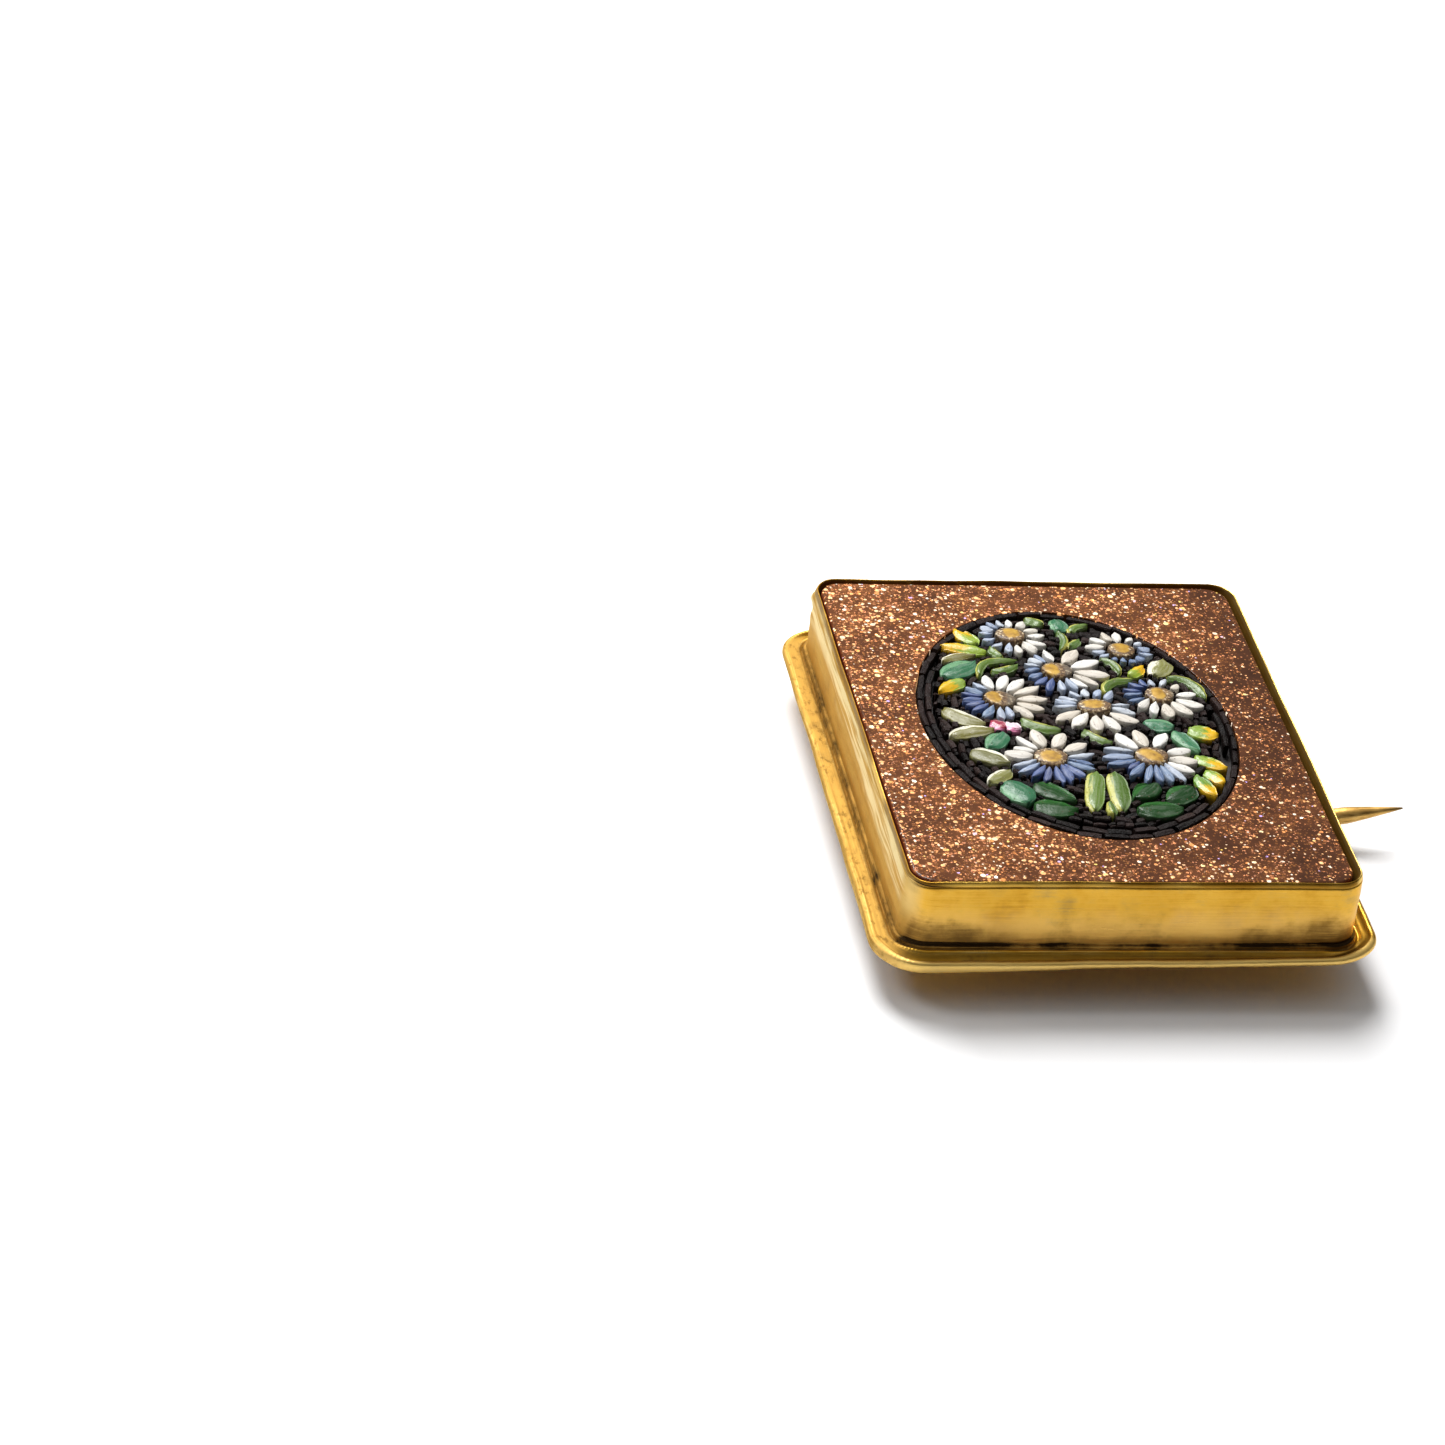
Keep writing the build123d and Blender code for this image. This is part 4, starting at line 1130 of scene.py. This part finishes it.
def foot_plate(centre, half, seed):
    """A rounded rectangle at rising heights, flaring into the solder skirt at the sheet. The
    first and last ring are shrunk halfway to the centre."""
    places, directions, _ = case_walk(0.12, 6, np.array(half), 0.22)
    stations = [(-0.12, 0.0), (-0.03, 0.02), (0.0, 0.08), (0.0, 0.2), (0.04, 0.26),
                (0.13, 0.29), (0.16, 0.33)]
    rings = [(places / 2, 0.0), *((places + directions * grow, z) for grow, z in stations),
             (places / 2, 0.36)]
    grid = stack_rings(rings) + (*centre, back_z - 0.3)
    grid[..., :2] += directions * 0.03 * smooth_noise(grid, seed, 7, 0.9)[..., None]
    return grid_shell(grid)


print("lugs", round(lug_width, 2), "mm wide, from", round(lug_start, 2), "to", round(lug_end, 2))

# %% [markdown]
# The catch is one strip of metal curled round into a hook. Bending a mesh by hand would pinch
# its section, so the section is carried along the strip's own middle line, square to it.

# %% Catch, and all the fittings together
catch_x = case_x + 10.1
catch_inner, catch_thick, catch_wide, catch_turn = 0.62, 0.42, 1.9, 200
catch_outer = catch_inner + catch_thick
catch_middle = catch_inner + catch_thick / 2
catch_y = pin_y + stem_radius + 0.3 + catch_outer


def catch_strip():
    """The middle line goes down a leg and round an arc of 200 degrees. The section is a
    rounded rectangle that thins and narrows towards the free end."""
    leg = np.linspace(back_z + 0.05, catch_outer + 0.12, 8)
    arc = unit(np.radians(np.linspace(0, -catch_turn, 34)))
    line = np.concatenate([
        np.stack([np.full(8, catch_middle), leg], 1), catch_middle * arc + (0, catch_outer)])
    normal = np.concatenate([np.tile([1.0, 0.0], (8, 1)), arc])
    around = np.radians(np.arange(20) * 18.0 + 9)
    wide = signed_power(np.cos(around), 0.35) * catch_wide / 2
    thick = signed_power(np.sin(around), 0.5) * catch_thick / 2
    end = np.linspace(-1, 0, len(line))[:, None]
    offset = thick * (1 - 0.45 * rise(end, -0.1, 0.0))
    grid = np.stack([
        catch_x + wide * (1 - 0.16 * rise(end, -0.12, 0.0)),
        catch_y + line[:, :1] + normal[:, :1] * offset,
        line[:, 1:] + normal[:, 1:] * offset], -1)
    grid[..., 0] += 0.02 * smooth_noise(grid, 340, 6, 1.2)
    grid[..., 2] = np.maximum(grid[..., 2], 0.0)
    return grid_shell(grid)


hinge_foot = (lug_radius + foot_margin, lug_end + foot_margin)
catch_foot = (catch_wide / 2 + foot_margin, catch_thick / 2 + foot_margin)
fittings = [
    back, lug(-1), lug(1), catch_strip(),
    foot_plate((hinge_x, pin_y), hinge_foot, 350),
    foot_plate((catch_x, catch_y + catch_middle), catch_foot, 351),
]
print("fittings", len(fittings))

# %% [markdown]
# The rivet is a turned part: a list of distances along its axle with a radius at each gives
# the whole of it. A cylinder with bevelled ends would be quicker, but its heads would be flat.

# %% Rivet
def about_hinge(along, radius, turn):
    """Points at a distance along the hinge's axle, a radius from it and a turn about it."""
    parts = (hinge_x + radius * np.cos(turn), pin_y + along, hinge_z + radius * np.sin(turn))
    return np.stack(np.broadcast_arrays(*parts), -1)


def full_turn(count):
    """Angles at equal steps round a full turn."""
    return 2 * np.pi * np.arange(count) / count


def rivet_shell():
    """A shank of 0.35 with a domed head of 0.6 at each end."""
    head = lug_end + 0.03
    dome = [(0.25, 0.1), (0.243, 0.28), (0.2, 0.45), (0.12, 0.56), (0.04, 0.6), (0, 0.58),
            (-0.005, 0.36), (-0.3, 0.35)]
    half = [(head + a, r) for a, r in dome] + [(head * 0.5, 0.35)]
    along, radius = np.array([(-a, r) for a, r in half] + half[::-1]).T[..., None]
    return grid_shell(about_hinge(along, radius, full_turn(36)))


rivet = rivet_shell()
print("rivet", round(2 * lug_end, 2), "mm between its heads")

# %% [markdown]
# The pin is a ring turned about the rivet and a wire. The wire is a circle carried along a
# line: level from the eye, round a slight bend, straight, and then down to a ground point.

# %% Pin
ring_middle, ring_half = 0.625, 0.225
wire_start, level_end, bend_radius, bend = 0.65, 9.5 + 9.66, 20, math.radians(9)
straight, point_at, point_length, point_radius = 6.5, 3.2, 3.3, 0.05


def pin_shells(around=24):
    """The ring's section is a rounded rectangle turned about the axle. The wire's radius
    falls from the start of the point as 1 minus the 1.15 power of the way there."""
    corner = np.radians(np.arange(24) * 15.0 + 7.5)
    wide = signed_power(np.cos(corner), 0.4) * eye_width / 2
    deep = ring_middle + signed_power(np.sin(corner), 0.4) * ring_half
    ring = about_hinge(wide, deep, full_turn(48)[:, None])
    arc = bend_radius * bend
    run = np.concatenate([
        np.linspace(wire_start, level_end, 60), level_end + arc * np.linspace(0, 1, 12)[1:],
        level_end + arc + np.linspace(0.1, straight, 80)])[:, None]
    lean = np.clip(run - level_end, 0, arc) / bend_radius
    rest = np.clip(run - level_end - arc, 0, None)
    x = np.minimum(run, level_end) + bend_radius * np.sin(lean) + rest * math.cos(bend)
    z = bend_radius * (1 - np.cos(lean)) + rest * math.sin(bend)
    ground = np.clip((rest - point_at) / point_length, 0, 1) ** 1.15
    radius = stem_radius - (stem_radius - point_radius) * ground
    up = radius * np.sin(full_turn(around))
    wire = np.stack([hinge_x + x - np.sin(lean) * up, pin_y + radius * np.cos(full_turn(around)),
                     hinge_z + z + np.cos(lean) * up], -1)
    tip = np.broadcast_to(rest / straight, wire.shape[:2])
    return [grid_shell(ring, True, {"tip": np.zeros(ring.shape[:2])}),
            grid_shell(wire, attributes={"tip": tip})]


pin = pin_shells()
print("wire stations", len(pin[1]["points"]) // 24)

# %% [markdown]
# The slab of goldstone is one skin: out from the middle of the pocket's floor, up the oval
# wall, over the polished face, round its edge, down the side and back underneath. Each ring
# joins a place on the oval to its match on the rounded outline.

# %% Goldstone slab
pocket_share, pocket_depth, bevel, slab_radius = 1.018, 1.5, 0.16, 1.2


def slab_shell():
    """Rings between the oval and the outline, (1 - share) of the one and share of the other.
    On the oval each point has the angle of its match, as shares of the half sizes."""
    low, high = (np.array(corner)[:2] / mm for corner in (plaque_low, plaque_high))
    half, middle = (high - low) / 2, (high + low) / 2
    places, directions, _ = case_walk(0.2, 20, half, slab_radius)
    places = places + middle + directions * 0.05
    angle = np.arctan2(*((places - middle) / half).T[::-1])
    centre = on_oval(0, 0)
    oval = on_oval(*(pocket_share * unit(angle).T))
    away = (oval - centre) / np.linalg.norm(oval - centre, axis=1, keepdims=True)
    oval = oval + away * 0.05
    floor_z, face = plaque_z - pocket_depth, plaque_z
    flare = places + directions * 0.1 * (1 - rise(-directions[:, :1], 0.35, 0.95))
    inner_edge, outer_edge = oval + away * 0.015, flare - directions * bevel
    rings = [(centre + (oval - centre) * s, floor_z) for s in (0.05, 0.5, 0.97, 1.0)]
    rings += [(oval, floor_z + 0.05), (oval, face - 0.35), (oval, face - 0.05),
              (oval + away * 0.004, face - 0.015), (inner_edge, face)]
    shares = (0.006, 0.05, 0.15, 0.28, 0.42, 0.56, 0.7, 0.82, 0.9, 0.95, 0.98, 0.995, 1.0)
    rings += [(inner_edge * (1 - s) + outer_edge * s, face) for s in shares]
    flat_rings = len(rings)
    for turn in np.radians((20, 40, 60, 75, 90)):
        rounded = outer_edge + directions * bevel * math.sin(turn)
        rings.append((rounded, face - bevel * (1 - math.cos(turn))))
    rings += [(flare, face - 0.28), (places, face - 0.6), (places, face - 1.2),
              (places, seat_z + 0.1), (places - directions * 0.1, seat_z)]
    rings += [(middle + (places - middle) * s, seat_z) for s in (0.9, 0.5, 0.05)]
    grid = stack_rings(rings)
    from_lip = np.linalg.norm((grid[..., :2] - centre) / (8.85, 11.95), axis=-1) - 1
    chipped = bell(grid[..., 2] - face, 0.06) * (np.abs(from_lip) < 0.02)
    grid[..., 2] -= chipped * 0.02 * (1 + smooth_noise(grid, 360, 7, 0.8))
    edge = np.ones(len(rings))
    edge[:flat_rings + 4] = [0.0] * flat_rings + [0.1, 0.3, 0.6, 0.9]
    return grid_shell(grid, attributes={"edge": np.broadcast_to(edge[:, None], grid.shape[:2])})


slab = slab_shell()
print("slab points", len(slab["points"]))

# %% [markdown]
# Goldstone is brown glass in which copper has grown as thousands of flat crystals. Each one is
# a tiny mirror at its own tilt. Scattering thousands of small plates would be heavy, so four
# nets of cells stand for fine to coarse crystals: a cell draws a random number that says
# whether it holds a crystal, how bright, and which way it tilts. A few crystals get a painted
# glint, a bright hue in the colour and a painted glow, and most are only a warm gleam. The
# crystals lie in veils.

# %% Finish of the goldstone
FLAKES = [
    # cells per mm, share of cells filled, size in cells, share with a painted glint
    (8.0, 0.4, 0.5, 0.12), (4.6, 0.22, 0.46, 0.28), (2.7, 0.08, 0.36, 0.5), (1.5, 0.0, 0.26, 0.8),
]
FLAKE_SHADES = ((0.0, (92, 52, 28)), (0.5, (138, 84, 46)), (0.8, (186, 120, 66)),
                (1.0, (240, 180, 110)))
# Hues of the painted glints.
PAINTED_GLINT_HUES = ((0.0, (255, 162, 92)), (0.6, (255, 200, 142)), (0.88, (255, 244, 224)),
              (0.95, (255, 214, 90)), (0.995, (210, 180, 255)))


def goldstone_finish():
    """A crystal is present in a cell whose chance is below the crowding there, out to its
    size. Its tilt is added to the surface's own direction. A share of the crystals get a painted
    glint: a bright hue in the colour and a painted glow by emission."""
    f = Finish("goldstone")
    x, y, _ = f.parts(f.place)
    veil = f.noise(f.place, 0.16, 4, 0.6) * 1.4 - x * 0.0105 + y.step(1.0, 13.0) * 0.12 - 0.23
    cloud = f.noise(f.place, 0.95, 5, 0.66)
    colour = f.ramp(cloud * 0.5 + veil * 0.5,
                    (0.2, (44, 24, 12)), (0.45, (78, 44, 24)), (0.7, (112, 66, 36)))
    painted_glow, metal = (0, 0, 0), 0.0
    normal = f.node("NewGeometry", output="Normal")
    edge = f.attribute("edge").step(0.1, 0.9)
    for order, (scale, filled, size, painted_glint_share) in enumerate(FLAKES):
        shifted = f.vector("ADD", f.place, (order * 31.7, order * 17.3, 0.0))
        distance, chance, bright, turn = f.cells(shifted, scale, voronoi_dimensions="2D")
        crowd = (veil - 0.5) * 0.55 + (cloud - 0.5) * 1.25 + filled
        present = (1 - edge) * (chance < crowd) * distance.step(size, size * 0.72)
        # Painted glints: a share of the crystals get a bright hue and a painted glow.
        painted_glints = present * (bright > 1 - painted_glint_share)
        painted_glint_hue = f.ramp(turn, *PAINTED_GLINT_HUES)
        colour = f.mix(present, colour, f.ramp(bright, *FLAKE_SHADES))
        colour = f.mix(painted_glints, colour, painted_glint_hue)
        painted_glow = f.mix(painted_glints, painted_glow, painted_glint_hue)
        metal = present.math("MAXIMUM", metal, present * 0.6)
        lean = f.xyz((bright - 0.5) * present * 0.9, (turn - 0.5) * present * 0.9, 0.0)
        normal = f.vector("ADD", normal, lean)
    colour = f.mix(edge * 0.75, colour, (112, 40, 22))
    # The emission is the painted glow of the glints; the slab is no lamp.
    return f.shade(
        Base_Color=colour, Metallic=metal, Roughness=metal * 0.35 + edge * 0.4 + 0.14,
        Normal=f.vector("NORMALIZE", normal), Emission_Color=painted_glow, Emission_Strength=0.8,
        Coat_Weight=(1 - edge) * 0.06, Coat_Roughness=0.05, Specular_IOR_Level=0.12)


goldstone = goldstone_finish()
print("goldstone with", len(FLAKES), "sizes of crystal")

# %% [markdown]
# Gilding over copper wears and tarnishes by place: dull in the cove, and dark along the foot
# of the wall, where solder and dirt sit. Light is painted in as well: painted highlights on
# the rim at its right end, on the near lip, along the crests of bead and lip, on the folds of
# the left wall and at the near left corner, a painted reflection on the lower near wall, and a
# painted shadow in the gap between rim and slab. One smooth gold would look new, and painting
# the wear by hand would need an image. So each kind of wear and each painted light is a mask
# of its own, made from the height, the distance out, the side of the case and some noise.

# %% Wear and painted light of the gilt case
WALL_SOOT = [
    # share of the near wall from left to right, depth of the soot there
    (0.0, 0.62), (0.1, 0.5), (0.22, 0.34), (0.31, 0.22), (0.35, 0.34), (0.38, 0.14), (0.44, 0.05),
    (0.5, 0.16), (0.6, 0.18), (0.66, 0.14), (0.74, 0.3), (0.85, 0.5), (0.94, 0.74), (1.0, 0.5),
]


def case_wear(f, noises, colour, relief, run):
    """Masks by place, each a product of steps, times the colour that belongs there: wear, dirt,
    painted highlights, a painted reflection and a painted shadow.
    """
    patch, lines, fine, smear, streak = noises
    x, y, z = f.parts(f.place)
    out, left = f.attribute("out"), f.attribute("left")
    x, height, from_front = x - case_x, z - seat_z, y + case_half[1]
    right = (x - case_half[0]).step(-0.7, -0.4)
    near = from_front.step(0.9, 0.3)
    outer_wall = (out < 0.26) * (out > -0.1)
    charted = f.ramp((x + case_half[0]) * (0.5 / case_half[0]), *WALL_SOOT)
    depth = charted * near + smear.step(0.3, 0.7) * (0.25 - left * 0.12) * (1 - near)
    depth = depth + (lines - 0.5) * 0.45 + (patch - 0.5) * 0.9
    soot = (depth - height * 0.34).step(-0.12, 0.45) * (patch * 0.6 + fine * 0.5).step(0.3, 0.6)
    on_foot = (charted * 0.2 * near + (smear - 0.42) * 0.2 - height).step(-0.03, 0.05)
    on_foot = on_foot * height.step(-0.1, -0.02)
    cove = out.band(0.46, 0.6, 0.94, 1.06) * (1 - left * 0.9)
    left_flange = left * (out > 0.3)

    # Painted reflection: the lower part of the near wall is made paler.
    low_wall_painted_reflection = (height + (patch - 0.5) * 2.4).step(2.6, 0.9)
    # Painted highlights on the folds of the left wall, under its rim.
    painted_fold_highlights = left.step(0.8, 1.0) * from_front.step(0.9, 2.0) * outer_wall
    painted_fold_highlights = painted_fold_highlights * (height + (smear - 0.5) * 2.0).step(1.5, 2.5) * streak.step(0.42, 0.56)
    # Painted highlight high on the wall at the near left corner.
    painted_corner_highlight = (x + case_half[0]).step(1.1, 0.2) * from_front.step(1.7, 0.7)
    under_rim = z.step(rim_z - 0.3, rim_z - 0.26)
    rim_gold = f.mix(smear.step(0.45, 0.66), (110, 72, 18), (216, 178, 84))
    # The near lip gets a painted highlight, and a rougher surface.
    lip = near * out.step(0.98, 1.1)
    # The crests of bead and lip: fine ribs in the relief, and bright lines that are a painted
    # highlight.
    crest_ribs_and_highlight = out.band(0.2, 0.3, 0.46, 0.56) + out.step(1.02, 1.12)
    for amount, tint in (
        (cove * 0.6, (112, 82, 26)),
        (outer_wall * near * low_wall_painted_reflection * 0.5, (232, 190, 112)),
        (left * outer_wall * 0.55, (168, 138, 84)),
        (painted_fold_highlights * 0.85, (232, 216, 168)),
        (left_flange * 0.75, (166, 134, 72)),
        (painted_corner_highlight * outer_wall * height.step(0.9, 2.2) * 0.6, (240, 212, 140)),
        (under_rim * 0.75, rim_gold),
        # Painted highlight on the rim at its right end.
        (under_rim * right * 0.8, (240, 204, 116)),
        (lip * 0.6, (252, 220, 138)),
        (crest_ribs_and_highlight * lines.step(0.45, 0.7) * 0.5, (252, 222, 140)),
    ):
        colour = f.mix(amount, colour, tint)

    pitted = f.noise(f.place, 3.4, 5, 0.7).step(0.36, 0.66)
    specks = f.noise(f.vector("MULTIPLY", f.place, (1.0, 0.45, 1.0)), 3.0, 5, 0.72).step(0.52, 0.68)
    scribed = z.band(rim_z - 0.37, rim_z - 0.34, rim_z - 0.31, rim_z - 0.27)
    smudge = near * z.step(rim_z - 0.62, rim_z - 0.34) * (3.2 - case_half[0] - x).step(0.0, 2.2)
    strip = left * out.step(0.1, 0.2) * (out + (patch - 0.5) * 0.9).step(0.62, 0.36)
    groove = out.band(0.15, 0.19, 0.24, 0.32) * (1 - left)
    bead = near * out.band(0.14, 0.3, 0.88, 0.98) * x.step(-5.5, -3.5)
    dirt_and_gap_shade = outer_wall * (soot * 0.7 + on_foot * 0.5 + scribed * 0.6 + smudge * 0.55)
    # The last term is a painted shadow in the gap between the rim and the slab.
    dirt_and_gap_shade = dirt_and_gap_shade + strip * (pitted * 0.2 + 0.14) + groove * 0.1 + out.step(-0.16, -0.2) * 0.8
    dirt_and_gap_shade = dirt_and_gap_shade + cove * patch.step(0.5, 0.7) * 0.3 + left_flange * specks * 0.4
    dirt_and_gap_shade = dirt_and_gap_shade + bead * (smear * 0.6 + lines * 0.5).step(0.4, 0.66) * 0.42
    wave = out.math("SINE", run * (2 * math.pi / 0.15) + patch * 14, 0.0)
    relief = relief + wave * crest_ribs_and_highlight * patch.step(0.4, 0.62) * 0.4
    dull = cove * 0.15 + left * 0.26 + left_flange * 0.12 + lip * 0.16
    return colour, relief, f.node("Clamp", None, {"Value": dirt_and_gap_shade}), dull


print("wear charted at", len(WALL_SOOT), "places")

# %% [markdown]
# All gilt metal shares one recipe. Fine lines run along it from the burnisher, over softer
# patches. The case's own lengths along and across are kept as a UV map, so that those lines
# follow it round the corners. The fittings have no map, and take their lines by place.

# %% Finish of the gilt metal
def gilt_finish(name, moulded):
    """Burnished lines, patches and tarnish. The moulded case adds wear and dirt by place, and
    painted highlights, a painted reflection and a painted shadow.
    """
    f = Finish(name)
    x, y, z = f.parts(f.place)
    if moulded:
        run, across, _ = f.parts(f.node("UVMap", {"uv_map": "along_and_across"}))
    else:
        run, across = x * 0.5 + y, x - y * 0.5 + z * 2

    def streaks(run_scale, across_scale, offset, detail, rough):
        place = f.xyz(run * run_scale, across * across_scale, offset)
        return f.noise(place, 1.0, detail, rough)

    broad = f.noise(f.place, 0.3, 4, 0.6)
    patch = f.noise(f.place, 0.55, 5, 0.62)
    lines, fine = streaks(0.22, 7.5, 0.0, 5, 0.65), streaks(0.5, 26.0, 3.0, 3, 0.6)
    colour = f.ramp(lines * 0.26 + broad * 0.4 + patch * 0.34, (0.34, (154, 108, 28)),
                    (0.46, (204, 153, 49)), (0.56, (225, 176, 69)), (0.68, (245, 209, 118)))
    tarnish = (patch * 0.6 + broad * 0.3 + lines * 0.25).step(0.56, 0.8)
    colour = f.mix(tarnish * 0.6, colour, (128, 92, 38))
    relief = fine * 0.45 + lines * 0.45 + patch * 0.8
    dirt_and_gap_shade, dull, brown = tarnish * 0.25, 0.08, (108, 72, 18)
    if moulded:
        smear, streak = streaks(0.16, 0.3, 7.0, 3, 0.5), streaks(0.12, 2.6, 5.0, 3, 0.6)
        noises = (patch, lines, fine, smear, streak)
        colour, relief, dirt_and_gap_shade, dull = case_wear(f, noises, colour, relief, run)
        brown = f.mix(dirt_and_gap_shade.step(0.55, 1.0), brown, (50, 32, 8))
    return f.shade(
        Base_Color=f.mix(dirt_and_gap_shade, colour, brown), Metallic=1 - dirt_and_gap_shade * 0.25,
        Roughness=0.2 + lines * 0.22 + tarnish * 0.14 + dirt_and_gap_shade * 0.3 + dull,
        Normal=f.bump(relief, 0.55, 0.022), Specular_Tint=(255, 243.445, 217.848))


metal_finishes = {name: gilt_finish(name, name == "gilt_metal")
                  for name in ("gilt_metal", "gilt_fittings")}
print("finishes", *metal_finishes)

# %% [markdown]
# The pin is drawn wire: its lines run along it, and its ground point is darker. With its
# finish the last pieces can be built. Only the pin rides on the body that swings.

# %% Finish of the pin, and the last pieces
def pin_finish():
    """Lines drawn out along the wire over soft patches, and a dark tip."""
    f = Finish("pin_wire")
    drawn = f.noise(f.vector("MULTIPLY", f.place, (0.4, 9.0, 9.0)), 1.0, 4, 0.6)
    patch = f.noise(f.place, 0.8, 4, 0.65)
    colour = f.ramp(drawn * 0.5 + patch * 0.5, (0.35, (158, 118, 58)), (0.5, (204, 162, 88)),
                    (0.66, (232, 196, 122)))
    colour = f.mix(f.attribute("tip").step(0.78, 1.0) * 0.7, colour, (86, 62, 40))
    return f.shade(Base_Color=colour, Metallic=1.0, Roughness=patch * 0.3 + 0.28,
                   Normal=f.bump(drawn, 0.4, 0.02))


gilt, gilt_fittings = metal_finishes.values()
build_piece("gilt_case", [case_shell], gilt, "gilt_metal", ["setting"])
build_piece("back_and_fittings", fittings, gilt_fittings, "gilt_metal")
build_piece("rivet", [rivet], gilt_fittings, "gilt_metal", ["hinge_rivet"])
build_piece("pin_and_eye", pin, pin_finish(), "pin_wire", ["pin_stem"], body="pin")
build_piece("goldstone_slab", [slab], goldstone, "goldstone", ["goldstone_plaque"])
